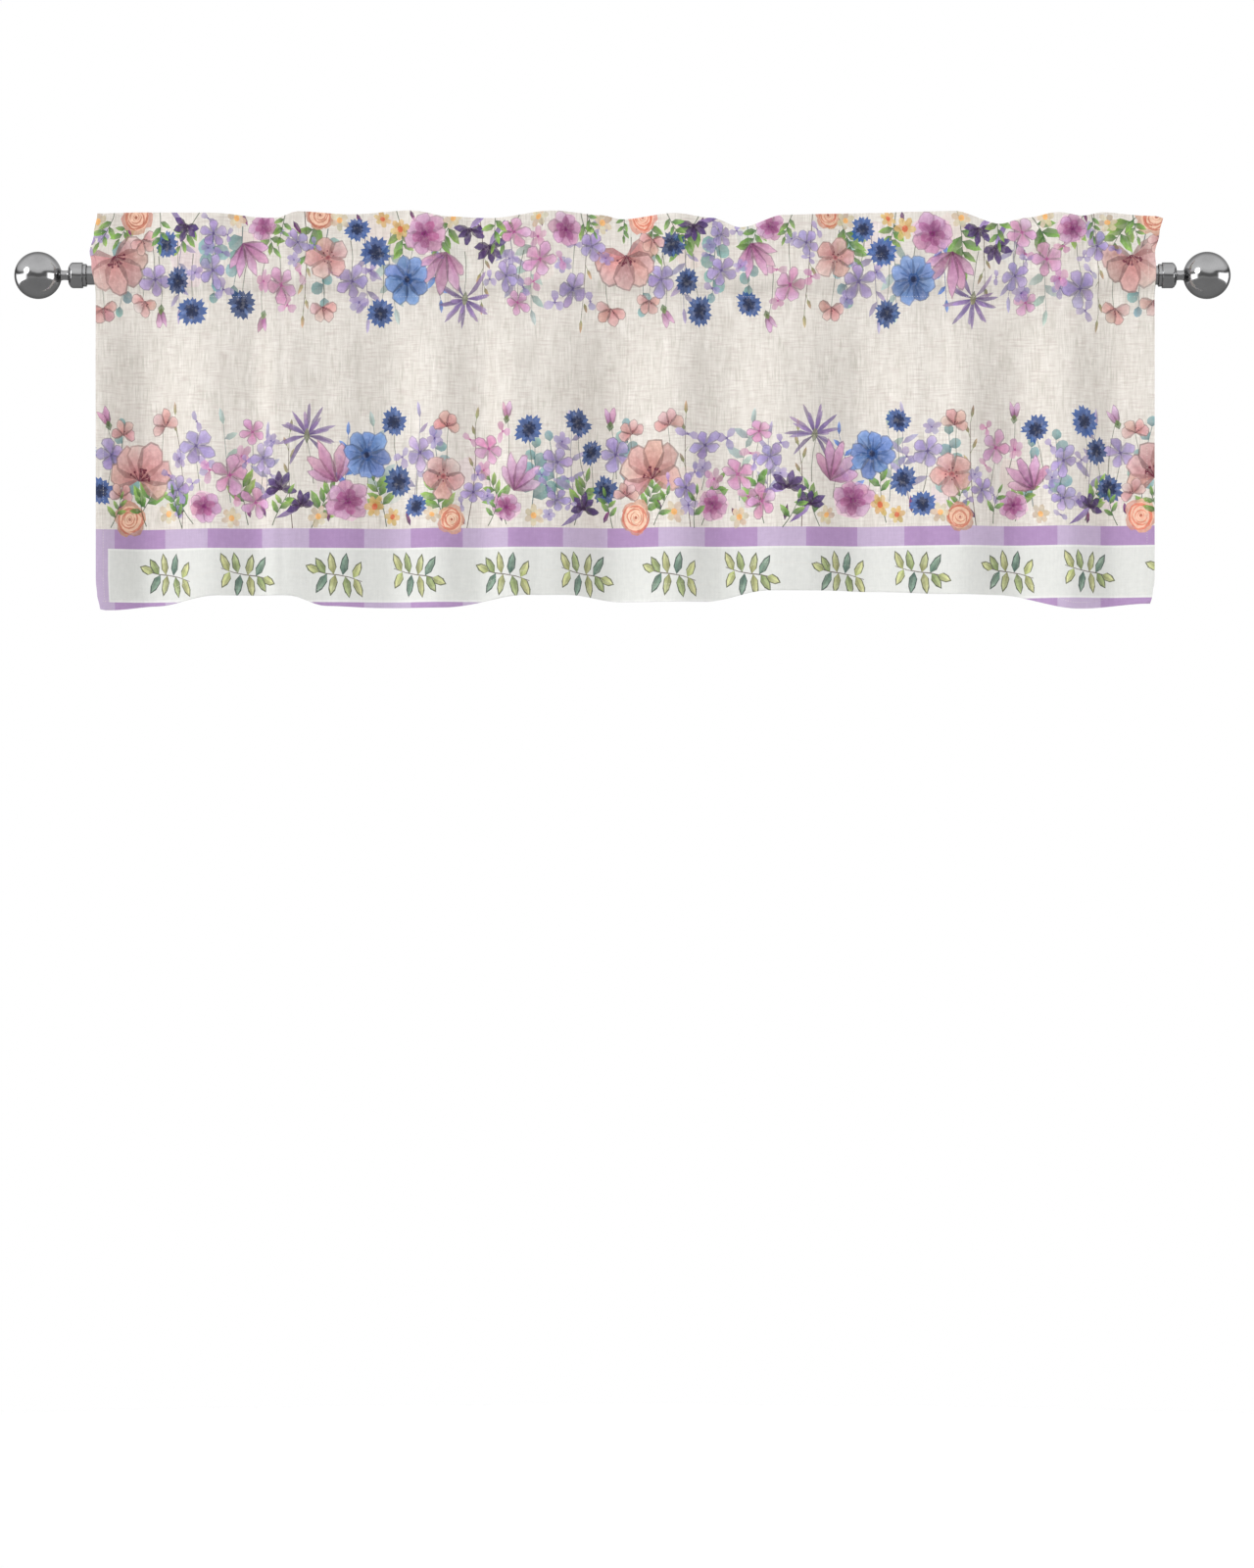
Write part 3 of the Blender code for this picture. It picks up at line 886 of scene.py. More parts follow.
def trim_inks(foot, outer, side):
    """The check band, the white band with its sprigs and the edge strip, from foot outwards.
    side is -1 where outwards is down the cloth and 1 where it is up."""
    far_right = FLAT_WIDTH + PAST_EDGE
    inks = [block(-PAST_EDGE, far_right, (foot, outer), LAVENDER_LIGHT, 0.96)]
    for across in np.arange(CHECK_START, FLAT_WIDTH, CHECK_REPEAT):
        inks.append(block(across, across + CHECK_DARK, (foot, outer), LAVENDER_DARK, 0.96))
    near = foot + side * CHECK_TALL
    far = near + side * BAND_TALL
    inner = (near + side * BAND_RIM, far - side * BAND_RIM)
    inks.append(block(BAND_INSET, far_right, (near, far), shade(BAND_WHITE, 1.02), 0.97))
    inks.append(block(BAND_INSET + BAND_RIM, far_right, inner, shade(BAND_WHITE, 0.975), 0.97))
    for i, across in enumerate(np.arange(BAND_INSET + SPRIG_START, FLAT_WIDTH + 40, SPRIG_PITCH)):
        turn = 180 * (i % 2 + (side > 0))
        inks += placed(leaf_sprig(side > 0), across, (near + far) / 2, turn)
    return inks


def all_inks():
    """Everything printed on the cloth, in painter's order."""
    inks = trim_inks(BORDER_FOOT, CUT_LOW - PAST_EDGE, -1)
    inks += trim_inks(HEADING_FOOT, CUT_HIGH + PAST_EDGE, 1)
    inks += placed(border_inks(11), up=BORDER_FOOT)
    inks += placed(border_inks(29), FLAT_WIDTH + HEADING_SHIFT, HEADING_FOOT, turn=180)
    return inks


# The sheet: one triangulation holds the folds' grid and every printed outline


def grid_points(columns, open_step, pocket_step):
    """(points, edges) of the grid inside the sheet, with level rows and rows that follow the hem's
    and the heading's turns. The edges run along the turns."""
    across = np.linspace(0, FLAT_WIDTH, columns + 1)[1:-1]
    x = np.interp(across, FLAT_ALONG, FLAT_PLACES)
    top = along_table(HEADING_TOP, x, 1)
    hem = flat_hem(x)
    rows = list(np.arange(-SEAM - 12, BORDER_FOOT + 4, -open_step))
    rows += list(np.arange(-SEAM - 9, SEAM + 9, 4.4))
    rows += [SEAM + 13, SEAM + 21, *np.arange(112, CUT_HIGH - 3, pocket_step)]
    for foot, side in ((BORDER_FOOT, -1), (HEADING_FOOT, 1)):
        rows.append(foot)
        rows += [foot + side * (CHECK_TALL + BAND_TALL * share) for share in (0, 0.25, 0.5, 0.75, 1)]
    levels = [(np.full_like(across, row), False) for row in rows]
    levels += [(hem + offset, False) for offset in (-14, -8, 7, 15, 25)]
    levels += [(top + offset, False) for offset in (-13, -6, 7, 16)]
    levels += [(hem + TURN - TURN * angle, True) for angle in np.linspace(0, math.pi, 5)]
    levels += [(top - TURN + TURN * angle, True) for angle in np.linspace(0, math.pi, 4)]
    points, edges = [], []
    for level, turning in levels:
        keep = (level > CUT_LOW + 1.5) & (level < CUT_HIGH - 1.5)
        first = len(points)
        points += list(zip(across[keep], level[keep]))
        if turning:
            edges += [(i, i + 1) for i in range(first, len(points) - 1)]
    return points, edges


def divided(outline):
    """The outline with long edges cut up, so that its print lies flat on the folds. The parts are
    short where the cloth bends quickly, at the pocket and the turned-over heading."""
    result = []
    for start, end in zip(outline, np.roll(outline, -1, axis=0)):
        middle = (start[1] + end[1]) / 2
        bent = abs(middle) < SEAM + 14 or middle > HEADING_FOOT + 28
        wide, tall = np.abs(end - start) / (8.0, 5.0 if bent else 40.0)
        parts = max(1, math.ceil(wide), math.ceil(tall))
        result += [start + (end - start) * i / parts for i in range(parts)]
    return np.array(result)


def doubled_area(places, corners):
    """Twice each triangle's area, above 0 where its corners run anticlockwise."""
    a, b, c = (places[corners[:, i]] for i in range(3))
    return (b[:, 0] - a[:, 0]) * (c[:, 1] - a[:, 1]) - (b[:, 1] - a[:, 1]) * (c[:, 0] - a[:, 0])


def anticlockwise(outline):
    x, y = np.asarray(outline, float).T
    area = np.sum(x * np.roll(y, -1) - y * np.roll(x, -1))
    return outline if area > 0 else outline[::-1]


def printed_triangles(inks):
    """(points, triangles, inks under each triangle) of the printed side."""
    points = [(0, CUT_LOW), (FLAT_WIDTH, CUT_LOW), (FLAT_WIDTH, CUT_HIGH), (0, CUT_HIGH)]
    edges = [(0, 1), (1, 2), (2, 3), (3, 0)]
    for up in np.linspace(CUT_LOW, CUT_HIGH, EDGE_ROWS + 1)[1:-1]:
        points += [(0, up), (FLAT_WIDTH, up)]
    for across in np.linspace(0, FLAT_WIDTH, EDGE_COLUMNS + 1)[1:-1]:
        points += [(across, CUT_LOW), (across, CUT_HIGH)]
    inner, inner_edges = grid_points(columns=186, open_step=20.0, pocket_step=5.0)
    edges += [(a + len(points), b + len(points)) for a, b in inner_edges]
    points += inner
    outlines = []
    for ink in inks:
        first = len(points)
        points += [tuple(p) for p in divided(anticlockwise(np.asarray(ink.outline)))]
        outlines.append(list(range(first, len(points))))
    vectors = [Vector(p) for p in points]
    found = delaunay_2d_cdt(vectors, edges, outlines, 0, 1e-4, True)
    places = np.array([tuple(p) for p in found[0]])
    corners = np.array(found[2])
    middle = places[corners].mean(axis=1)
    inside = (middle[:, 0] > 0) & (middle[:, 0] < FLAT_WIDTH)
    inside &= (middle[:, 1] > CUT_LOW) & (middle[:, 1] < CUT_HIGH)
    lows = np.array([np.min(ink.outline, axis=0) for ink in inks]) - 0.01
    highs = np.array([np.max(ink.outline, axis=0) for ink in inks]) + 0.01
    covers = []
    for i in np.flatnonzero(inside):
        x, y = middle[i]
        beside = [k for k in found[5][i] if lows[k][0] < x < highs[k][0]]
        covers.append([k for k in beside if lows[k][1] < y < highs[k][1]])
    corners = corners[inside]
    used, corners = np.unique(corners, return_inverse=True)
    corners = corners.reshape(-1, 3)
    places = places[used]
    turned = doubled_area(places, corners) < 0
    corners[turned] = corners[turned][:, ::-1]
    return places, corners, covers


def painted(places, corners, covers, inks):
    """(colour, cover, wetness) at each triangle's corners, from the inks in their order."""
    near = np.array([linear(ink.near) for ink in inks])
    far = np.array([linear(ink.far) for ink in inks])
    start = np.array([ink.start for ink in inks], float)
    reach = np.array([ink.reach for ink in inks], float)
    strength = np.array([ink.cover for ink in inks], float)
    wetness = np.array([ink.wet for ink in inks], float)
    spots = places[corners]
    colour = np.zeros(spots.shape[:2] + (3,))
    cover = np.zeros(spots.shape[:2])
    wet = np.zeros(spots.shape[:2])
    covers = [sorted(ids) for ids in covers]
    deepest = max(len(ids) for ids in covers)
    for level in range(deepest):
        rows = np.array([i for i, ids in enumerate(covers) if len(ids) > level])
        ids = np.array([covers[i][level] for i in rows])
        distance = np.linalg.norm(spots[rows] - start[ids][:, None, :], axis=2)
        share = np.clip(distance / reach[ids][:, None], 0, 1)[..., None]
        tone = near[ids][:, None, :] * (1 - share) + far[ids][:, None, :] * share
        amount = strength[ids][:, None]
        before = cover[rows]
        total = before * (1 - amount) + amount
        mixed = colour[rows] * (before * (1 - amount))[..., None] + tone * amount[..., None]
        colour[rows] = mixed / total[..., None]
        cover[rows] = total
        wet[rows] = wet[rows] * (1 - amount) + wetness[ids][:, None] * amount
    return colour, cover, wet


def show_through(places, corners, colour, cover, spots):
    """The print's colour and cover at spots of the reverse, blurred over square cells."""
    spots = np.clip(spots, (0, CUT_LOW), (FLAT_WIDTH, CUT_HIGH))
    wide = int(FLAT_WIDTH / SHOW_CELL) + 2
    count = (int((CUT_HIGH - CUT_LOW) / SHOW_CELL) + 2) * wide

    def cell_of(points):
        column, row = ((points - (0, CUT_LOW)) / SHOW_CELL).astype(int).T
        return row * wide + column

    area = np.abs(doubled_area(places, corners))
    index, here = cell_of(places[corners].mean(axis=1)), cell_of(spots)
    weight = area * cover.mean(axis=1)
    total = np.bincount(index, area, count)
    inked = np.bincount(index, weight, count)
    tones = [np.bincount(index, weight * colour.mean(axis=1)[:, i], count) for i in range(3)]
    tone = np.column_stack(tones)[here] / np.maximum(inked[here], 1e-9)[:, None]
    return tone, inked[here] / np.maximum(total[here], 1e-9)


def reverse_triangles(edge_points):
    """The plain reverse: the printed side's own edge points and a coarser grid between them."""
    inner, inner_edges = grid_points(columns=174, open_step=36.0, pocket_step=6.5)
    points = np.vstack([edge_points, inner])
    edges = [(a + len(edge_points), b + len(edge_points)) for a, b in inner_edges]
    vectors = [Vector(p) for p in points]
    found = delaunay_2d_cdt(vectors, edges, [], 0, 1e-5, True)
    places = np.array([tuple(p) for p in found[0]])
    first = np.full(len(points), -1)
    for new, olds in enumerate(found[3]):
        for old in olds:
            first[old] = new
    return places, np.array(found[2]), first[: len(edge_points)]


def rim_order(places):
    """Indices of the points on the sheet's outline, anticlockwise."""
    order = []
    for axis, value, way in ((1, CUT_LOW, 1), (0, FLAT_WIDTH, 1), (1, CUT_HIGH, -1), (0, 0.0, -1)):
        on = np.flatnonzero(np.abs(places[:, axis] - value) < 1e-3)
        places[on, axis] = value
        on = on[np.argsort(places[on, 1 - axis] * way)]
        order += list(on[:-1])
    return np.array(order)


def sheet_mesh(thickness):
    """The cloth as one closed mesh: printed side, reverse and the cut edges between them."""
    inks = all_inks()
    front, front_faces, covers = printed_triangles(inks)
    rim = rim_order(front)
    colour, cover, wet = painted(front, front_faces, covers, inks)
    back, back_faces, back_rim = reverse_triangles(front[rim])
    tone, through = show_through(front, front_faces, colour, cover, back)

    half = thickness / 2
    front_normals, back_normals = outward(*front.T), outward(*back.T)
    front_spots = hang(*front.T) + front_normals * half
    back_spots = hang(*back.T) - back_normals * half
    upright = doubled_area(back, back_faces) > 0
    back_faces[upright] = back_faces[upright][:, ::-1]
    offset = len(front)
    next_rim, next_back = np.roll(rim, -1), np.roll(back_rim, -1)
    walls = np.column_stack([next_rim, rim, back_rim + offset, next_back + offset])

    mesh = bpy.data.meshes.new("valance_cloth")
    spots = np.vstack([front_spots, back_spots]) * MM
    faces = front_faces.tolist() + (back_faces + offset).tolist() + walls.tolist()
    mesh.from_pydata(spots.tolist(), [], faces)
    mesh.update()

    flat = np.vstack([front, back])
    corner_vertex = np.zeros(len(mesh.loops), int)
    mesh.loops.foreach_get("vertex_index", corner_vertex)
    uv = mesh.uv_layers.new(name="flat cloth")
    uv.data.foreach_set("uv", (flat[corner_vertex] * MM).ravel())

    wall_corners = len(walls) * 4
    back_corner = back_faces.ravel()
    wall_colours = np.tile(linear(CUT_EDGE), (wall_corners, 1))
    colours = np.vstack([colour.reshape(-1, 3), tone[back_corner], wall_colours])
    amount = np.concatenate([cover.ravel(), through[back_corner], np.zeros(wall_corners)])
    ink = mesh.attributes.new("ink", "FLOAT_COLOR", "CORNER")
    washes = np.concatenate([wet.ravel(), np.ones(len(colours) - wet.size)])
    ink.data.foreach_set("color", np.column_stack([colours, washes]).ravel())
    covering = mesh.attributes.new("ink cover", "FLOAT", "CORNER")
    covering.data.foreach_set("value", amount)

    slots = np.repeat([0, 1], [len(front_faces), len(back_faces) + len(walls)])
    mesh.polygons.foreach_set("material_index", slots)
    mesh.shade_smooth()
    wall_start, wall_end = spots[rim], spots[next_rim]
    wall_side = np.cross(wall_end - wall_start, spots[back_rim + offset] - wall_start)
    wall_side = -wall_side / np.maximum(np.linalg.norm(wall_side, axis=1, keepdims=True), 1e-12)
    wall_normals = np.repeat(wall_side, 4, axis=0)
    normals = np.vstack([front_normals[front_faces.ravel()], -back_normals[back_corner], wall_normals])
    mesh.normals_split_custom_set(normals.tolist())
    mesh.validate()
    return mesh


# Thread, in millimetres

STITCH_PITCH = 3.0
STITCH_LENGTH = 2.2
THREAD_WIDTH = 0.34
# Along a stitch: the share of its length, of its width, and how deep it sinks in the cloth.
STITCH_RINGS = ((0.0, 0.35, 0.3), (0.2, 0.9, 0.06), (0.5, 1.0, 0.0), (0.8, 0.9, 0.06), (1.0, 0.35, 0.3))
SEAM_INSET = 4.0
SEAM_DROP = 3.0
SIDE_HEM = 9.0
SIDE_START, SIDE_END = CUT_LOW + 22, HEADING_FOOT - 14
BACK_SINK = 0.05
ROW_STEPS, SIDE_STEPS = 2200, 900


def seam_paths():
    """Rows of stitching as points of flat cloth: both pocket seams, the hem and the side hems."""
    across = np.linspace(SEAM_INSET, FLAT_WIDTH - SEAM_INSET, ROW_STEPS)
    level = np.ones_like(across)
    hem = flat_hem(np.interp(across, FLAT_ALONG, FLAT_PLACES))
    rows = (level * SEAM, level * (-SEAM - SEAM_DROP), 2 * hem - CUT_LOW - SEAM_INSET)
    paths = [np.column_stack([across, row]) for row in rows]
    up = np.linspace(SIDE_START, SIDE_END, SIDE_STEPS)
    for side in (SIDE_HEM, FLAT_WIDTH - SIDE_HEM):
        paths.append(np.column_stack([np.full_like(up, side), up]))
    return paths


def at_lengths(lengths, along, rows):
    """The rows' values at lengths along the path that they belong to."""
    return np.column_stack([np.interp(lengths, along, column) for column in rows.T])


def stitches(path, lift):
    """Corner points of the stitches along a path, some rings of four corners to a stitch."""
    normals = outward(*path.T)
    spots = hang(*path.T) + normals * lift
    steps = np.linalg.norm(np.diff(spots, axis=0), axis=1)
    along = np.concatenate([[0.0], np.cumsum(steps)])
    starts = np.arange(1.0, along[-1] - STITCH_LENGTH, STITCH_PITCH)
    rings = []
    for share, girth, sink in STITCH_RINGS:
        at = starts + STITCH_LENGTH * share
        middle, normal = at_lengths(at, along, spots), at_lengths(at, along, normals)
        ahead = at_lengths(at + 0.3, along, spots) - middle
        side = np.cross(normal, ahead)
        side /= np.linalg.norm(side, axis=1, keepdims=True)
        middle = middle - normal * sink
        half = THREAD_WIDTH / 2 * girth
        corners = (middle + side * half, middle + normal * half, middle - side * half, middle - normal * half)
        rings.append(np.stack(corners, axis=1))
    return np.stack(rings, axis=1)


def stitch_faces(count, rings, sides):
    """Quads of one stitch's rings, for every stitch."""
    one = []
    for ring in range(rings - 1):
        for side in range(sides):
            low, high = ring * sides + side, ring * sides + (side + 1) % sides
            one.append((low, high, high + sides, low + sides))
    one.append(tuple(range(sides))[::-1])
    one.append(tuple(range((rings - 1) * sides, rings * sides)))
    each = np.array(one)
    return (each[None, :, :] + (np.arange(count) * rings * sides)[:, None, None]).reshape(-1, 4)


# Round metal pieces, in metres

ROUND_STEPS = 96
BEVEL_ANGLE = math.radians(28)
SMOOTH_ANGLE = math.radians(35)


def turned_piece(name, profile, hollow=False):
    """A round piece grown along the rod: a disc or ring is extruded and scaled from one station of
    (distance, radius) to the next."""
    deselect()
    place, radius = profile[0]
    bpy.ops.mesh.primitive_circle_add(
        vertices=ROUND_STEPS,
        radius=radius,
        fill_type="NOTHING" if hollow else "NGON",
        location=(place, 0, 0),
        rotation=(0, math.pi / 2, 0),
    )
    piece = bpy.context.object
    piece.name = piece.data.name = name
    bpy.ops.object.transform_apply(location=True, rotation=True, scale=True)
    bpy.ops.object.mode_set(mode="EDIT")
    bpy.ops.mesh.select_all(action="SELECT")
    for next_place, next_radius in profile[1:]:
        bpy.ops.mesh.extrude_region_move(TRANSFORM_OT_translate={"value": (next_place - place, 0, 0)})
        ratio = next_radius / radius
        bpy.ops.transform.resize(value=(1, ratio, ratio), center_override=(next_place, 0, 0))
        place, radius = next_place, next_radius
    bpy.ops.mesh.select_all(action="SELECT")
    bpy.ops.mesh.remove_doubles(threshold=0.000002)
    bpy.ops.mesh.normals_make_consistent(inside=False)
    bpy.ops.object.mode_set(mode="OBJECT")
    return piece


def soften(piece, width, segments):
    """Rounds the piece's sharp edges and shades it smooth."""
    bevel = piece.modifiers.new("rounded edges", "BEVEL")
    bevel.width = width
    bevel.segments = segments
    bevel.limit_method = "ANGLE"
    bevel.angle_limit = BEVEL_ANGLE
    bpy.ops.object.modifier_apply(modifier=bevel.name)
    bpy.ops.object.shade_smooth_by_angle(angle=SMOOTH_ANGLE)


# Materials

FLOAT, VECTOR = "NodeSocketFloat", "NodeSocketVector"
CLOTH_TONE = 0.87
WEAVE_PITCH = 0.00095


class Graph:
    """Adds nodes to a tree, left to right."""

    def __init__(self, tree):
        self.tree = tree
        self.column = 0

    def add(self, kind, **values):
        node = self.tree.nodes.new(kind)
        node.location = (self.column * 190, 0)
        self.column += 1
        for key, value in values.items():
            setattr(node, key, value)
        return node

    def colour_socket(self, sockets, name):
        """The colour socket of a Mix node, which has others of the same name."""
        return next(s for s in sockets if s.name == name and s.type == "RGBA")

    def link(self, source, target):
        self.tree.links.new(source, target)

    def feed(self, socket, value):
        if isinstance(value, bpy.types.NodeSocket):
            self.link(value, socket)
        else:
            socket.default_value = value

    def math(self, operation, first, second=0.0, third=0.0):
        node = self.add("ShaderNodeMath", operation=operation)
        for socket, value in zip(node.inputs, (first, second, third)):
            self.feed(socket, value)
        return node.outputs[0]

    def times(self, first, second):
        return self.math("MULTIPLY", first, second)

    def plus(self, first, second):
        return self.math("ADD", first, second)

    def stretch(self, vector, scale):
        node = self.add("ShaderNodeVectorMath", operation="MULTIPLY")
        self.link(vector, node.inputs[0])
        node.inputs[1].default_value = scale
        return node.outputs[0]

    def noise(self, vector, scale=1.0, detail=2.0, roughness=0.5):
        node = self.add("ShaderNodeTexNoise")
        self.link(vector, node.inputs["Vector"])
        self.feed(node.inputs["Scale"], scale)
        node.inputs["Detail"].default_value = detail
        node.inputs["Roughness"].default_value = roughness
        return node.outputs["Fac"]

    def remap(self, value, low, high, new_low=0.0, new_high=1.0):
        node = self.add("ShaderNodeMapRange")
        self.link(value, node.inputs["Value"])
        numbers = {"From Min": low, "From Max": high, "To Min": new_low, "To Max": new_high}
        for name, number in numbers.items():
            self.feed(node.inputs[name], number)
        return node.outputs["Result"]

    def mix(self, share, first, second, blend="MIX"):
        node = self.add("ShaderNodeMix", data_type="RGBA", blend_type=blend)
        self.feed(node.inputs["Factor"], share)
        self.feed(self.colour_socket(node.inputs, "A"), first)
        self.feed(self.colour_socket(node.inputs, "B"), second)
        return self.colour_socket(node.outputs, "Result")

    def grey(self, value):
        node = self.add("ShaderNodeCombineColor")
        for i in range(3):
            self.link(value, node.inputs[i])
        return node.outputs[0]

    def toned(self, colour, tone):
        """The colour times a grey tone."""
        return self.mix(1.0, colour, self.grey(tone), "MULTIPLY")


def new_group(name, inputs, outputs):
    """A node group with named sockets. inputs maps a name to (socket type, default), and outputs
    names those that put out one number."""
    tree = bpy.data.node_groups.new(name, "ShaderNodeTree")
    for label, (kind, default) in inputs.items():
        socket = tree.interface.new_socket(label, in_out="INPUT", socket_type=kind)
        if default is not None:
            socket.default_value = default
    for label in outputs:
        tree.interface.new_socket(label, in_out="OUTPUT", socket_type=FLOAT)
    return tree


def linen_weave():
    """Crossed slubby threads in flat cloth coordinates, as two masks about 0, and their height."""
    outputs = ("Weft", "Warp", "Patch", "Height")
    inputs = {"Flat": (VECTOR, None), "Thread": (FLOAT, 420.0), "Slub": (FLOAT, 44.0)}
    tree = new_group("linen weave", inputs, outputs)
    graph = Graph(tree)
    source = graph.add("NodeGroupInput")
    flat = source.outputs["Flat"]
    split = graph.add("ShaderNodeSeparateXYZ")
    graph.link(flat, split.inputs[0])
    across, up = split.outputs[0], split.outputs[1]
    masks = []
    for along, over, offset in ((across, up, 0.0), (up, across, 40.0)):
        layers = []
        for run, fine in ((1.0, 1.0), (2.2, 2.6)):
            place = graph.add("ShaderNodeCombineXYZ")
            graph.link(graph.times(along, graph.times(source.outputs["Slub"], run)), place.inputs[0])
            graph.link(graph.times(over, graph.times(source.outputs["Thread"], fine)), place.inputs[1])
            place.inputs[2].default_value = offset + 7.0 * fine
            layers.append(graph.remap(graph.noise(place.outputs[0], detail=1.0), 0.34, 0.66, -0.5, 0.5))
        gate = graph.add("ShaderNodeVectorMath", operation="ADD")
        graph.link(flat, gate.inputs[0])
        gate.inputs[1].default_value = (offset, offset, offset)
        shown = graph.remap(graph.noise(gate.outputs[0], 55.0, 1.0), 0.4, 0.62, 0.3, 1.0)
        masks.append(graph.math("MULTIPLY_ADD", layers[1], 0.4, graph.times(layers[0], shown)))
    weft, warp = masks
    bars = [graph.math("SINE", graph.times(way, 2 * math.pi / WEAVE_PITCH)) for way in (across, up)]
    basket = graph.times(graph.times(*bars), 0.4)
    height = graph.plus(graph.plus(weft, warp), basket)
    patch = graph.noise(flat, 24.0, 3.0, 0.6)
    sink = graph.add("NodeGroupOutput")
    for label, value in zip(outputs, (weft, warp, patch, height)):
        graph.link(value, sink.inputs[label])
    return tree


def polish_marks():
    """Faint smudges and fine marks on polished metal: a roughness step, a tone and a height."""
    outputs = ("Roughness", "Tone", "Height")
    tree = new_group("polish marks", {"Place": (VECTOR, None), "Scale": (FLOAT, 60.0)}, outputs)
    graph = Graph(tree)
    source = graph.add("NodeGroupInput")
    smudge = graph.noise(source.outputs["Place"], source.outputs["Scale"], 3.0, 0.6)
    fine = graph.noise(graph.stretch(source.outputs["Place"], (600.0, 60.0, 60.0)))
    sink = graph.add("NodeGroupOutput")
    graph.link(graph.remap(smudge, 0.35, 0.7), sink.inputs["Roughness"])
    graph.link(graph.remap(smudge, 0.3, 0.7, 0.94, 1.04), sink.inputs["Tone"])
    graph.link(fine, sink.inputs["Height"])
    return tree


def new_material(name):
    material = bpy.data.materials.new(name)
    material.use_nodes = True
    material.node_tree.nodes.clear()
    return material, Graph(material.node_tree)


def close_material(graph, base, rough, normal=None, metallic=0.0, **constants):
    """Ends the graph in a Principled shader. Constants are set on its own sockets."""
    shader = graph.add("ShaderNodeBsdfPrincipled")
    graph.feed(shader.inputs["Base Color"], base)
    graph.feed(shader.inputs["Roughness"], rough)
    shader.inputs["Metallic"].default_value = metallic
    for label, value in constants.items():
        shader.inputs[label.replace("_", " ")].default_value = value
    if normal is not None:
        graph.link(normal, shader.inputs["Normal"])
    output = graph.add("ShaderNodeOutputMaterial")
    graph.link(shader.outputs[0], output.inputs["Surface"])


def bumped(graph, height, strength, distance):
    bump = graph.add("ShaderNodeBump")
    bump.inputs["Strength"].default_value = strength
    bump.inputs["Distance"].default_value = distance
    graph.link(height, bump.inputs["Height"])
    return bump.outputs[0]


def opaque(colour):
    return tuple(colour) + (1.0,)


def grey_of(value):
    return opaque((value,) * 3)


def cloth_material(name, weave, light, dark, ink_share, ink_wear):
    """Linen-look cloth with the ink attribute printed on it."""
    material, graph = new_material(name)
    flat = graph.add("ShaderNodeUVMap", uv_map="flat cloth").outputs[0]
    woven = graph.add("ShaderNodeGroup", node_tree=weave)
    graph.link(flat, woven.inputs["Flat"])
    weft, warp, patch, height = woven.outputs
    tone = graph.math("MULTIPLY_ADD", warp, 0.75, graph.times(weft, 0.5))
    broad = graph.noise(graph.stretch(flat, (110.0, 26.0, 1.0)))
    thread = graph.plus(graph.remap(tone, -1.0, 1.0), graph.remap(broad, 0.3, 0.7, -0.14, 0.14))
    ground = graph.mix(thread, opaque(dark), opaque(light))
    rosy = graph.remap(weft, 0.0, -0.5, 0.0, 0.28)
    ground = graph.mix(rosy, ground, opaque(linear(ROSY_THREAD)))
    mossy = graph.times(graph.remap(warp, 0.0, -0.5, 0.0, 0.3), graph.remap(patch, 0.4, 0.62))
    ground = graph.mix(mossy, ground, opaque(linear(MOSSY_THREAD)))
    painted_on = graph.add("ShaderNodeAttribute", attribute_name="ink")
    cover = graph.add("ShaderNodeAttribute", attribute_name="ink cover").outputs["Fac"]
    wet = painted_on.outputs["Alpha"]
    wash = graph.noise(flat, 150.0, 4.0, 0.62)
    pool = graph.times(graph.remap(wash, 0.3, 0.7, -0.17, 0.17), wet)
    level = graph.plus(graph.plus(pool, graph.times(tone, 0.06)), 1.0)
    ink = graph.toned(painted_on.outputs["Color"], level)
    thin = graph.times(graph.remap(wash, 0.5, 0.78, 0.0, ink_wear), wet)
    share = graph.times(graph.times(cover, ink_share), graph.math("SUBTRACT", 1.0, thin))
    base = graph.mix(1.0, graph.mix(share, ground, ink), grey_of(CLOTH_TONE), "MULTIPLY")
    rough = graph.remap(patch, 0.3, 0.7, 0.84, 0.94)
    normal = bumped(graph, height, 0.35, 0.00025)
    close_material(graph, base, rough, normal, Sheen_Weight=0.12, Sheen_Roughness=0.5)
    return material


def metal_material(name, marks, colour, rough, scale):
    """Polished metal with faint smudges, and a little darker at grazing angles."""
    material, graph = new_material(name)
    worn = graph.add("ShaderNodeGroup", node_tree=marks)
    graph.link(graph.add("ShaderNodeTexCoord").outputs["Object"], worn.inputs["Place"])
    worn.inputs["Scale"].default_value = scale
    base = graph.toned(opaque(colour), worn.outputs["Tone"])
    roughness = graph.remap(worn.outputs["Roughness"], 0.0, 1.0, rough, rough + 0.06)
    normal = bumped(graph, worn.outputs["Height"], 0.03, 0.00003)
    close_material(graph, base, roughness, normal, 1.0, Specular_Tint=grey_of(0.45))
    return material


def thread_material():
    """Twisted sewing thread."""
    material, graph = new_material("sewing thread")
    place = graph.add("ShaderNodeTexCoord").outputs["Object"]
    twist = graph.noise(graph.stretch(place, (900.0, 900.0, 900.0)))
    base = graph.mix(twist, opaque(linear(THREAD_DARK)), opaque(linear(THREAD_LIGHT)))
    close_material(graph, base, 0.7, bumped(graph, twist, 0.2, 0.0001))
    return material


# Settings

# Where the solid's right-hand pieces start and end along the rod. The left-hand ones mirror them.
TUBE_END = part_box("rod_tube")[1][0]
COLLAR_START, COLLAR_END = (corner[0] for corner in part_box("collar_right"))
NECK_START, NECK_END = (corner[0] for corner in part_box("neck_right"))
BALL_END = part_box("ball_right")[1][0]


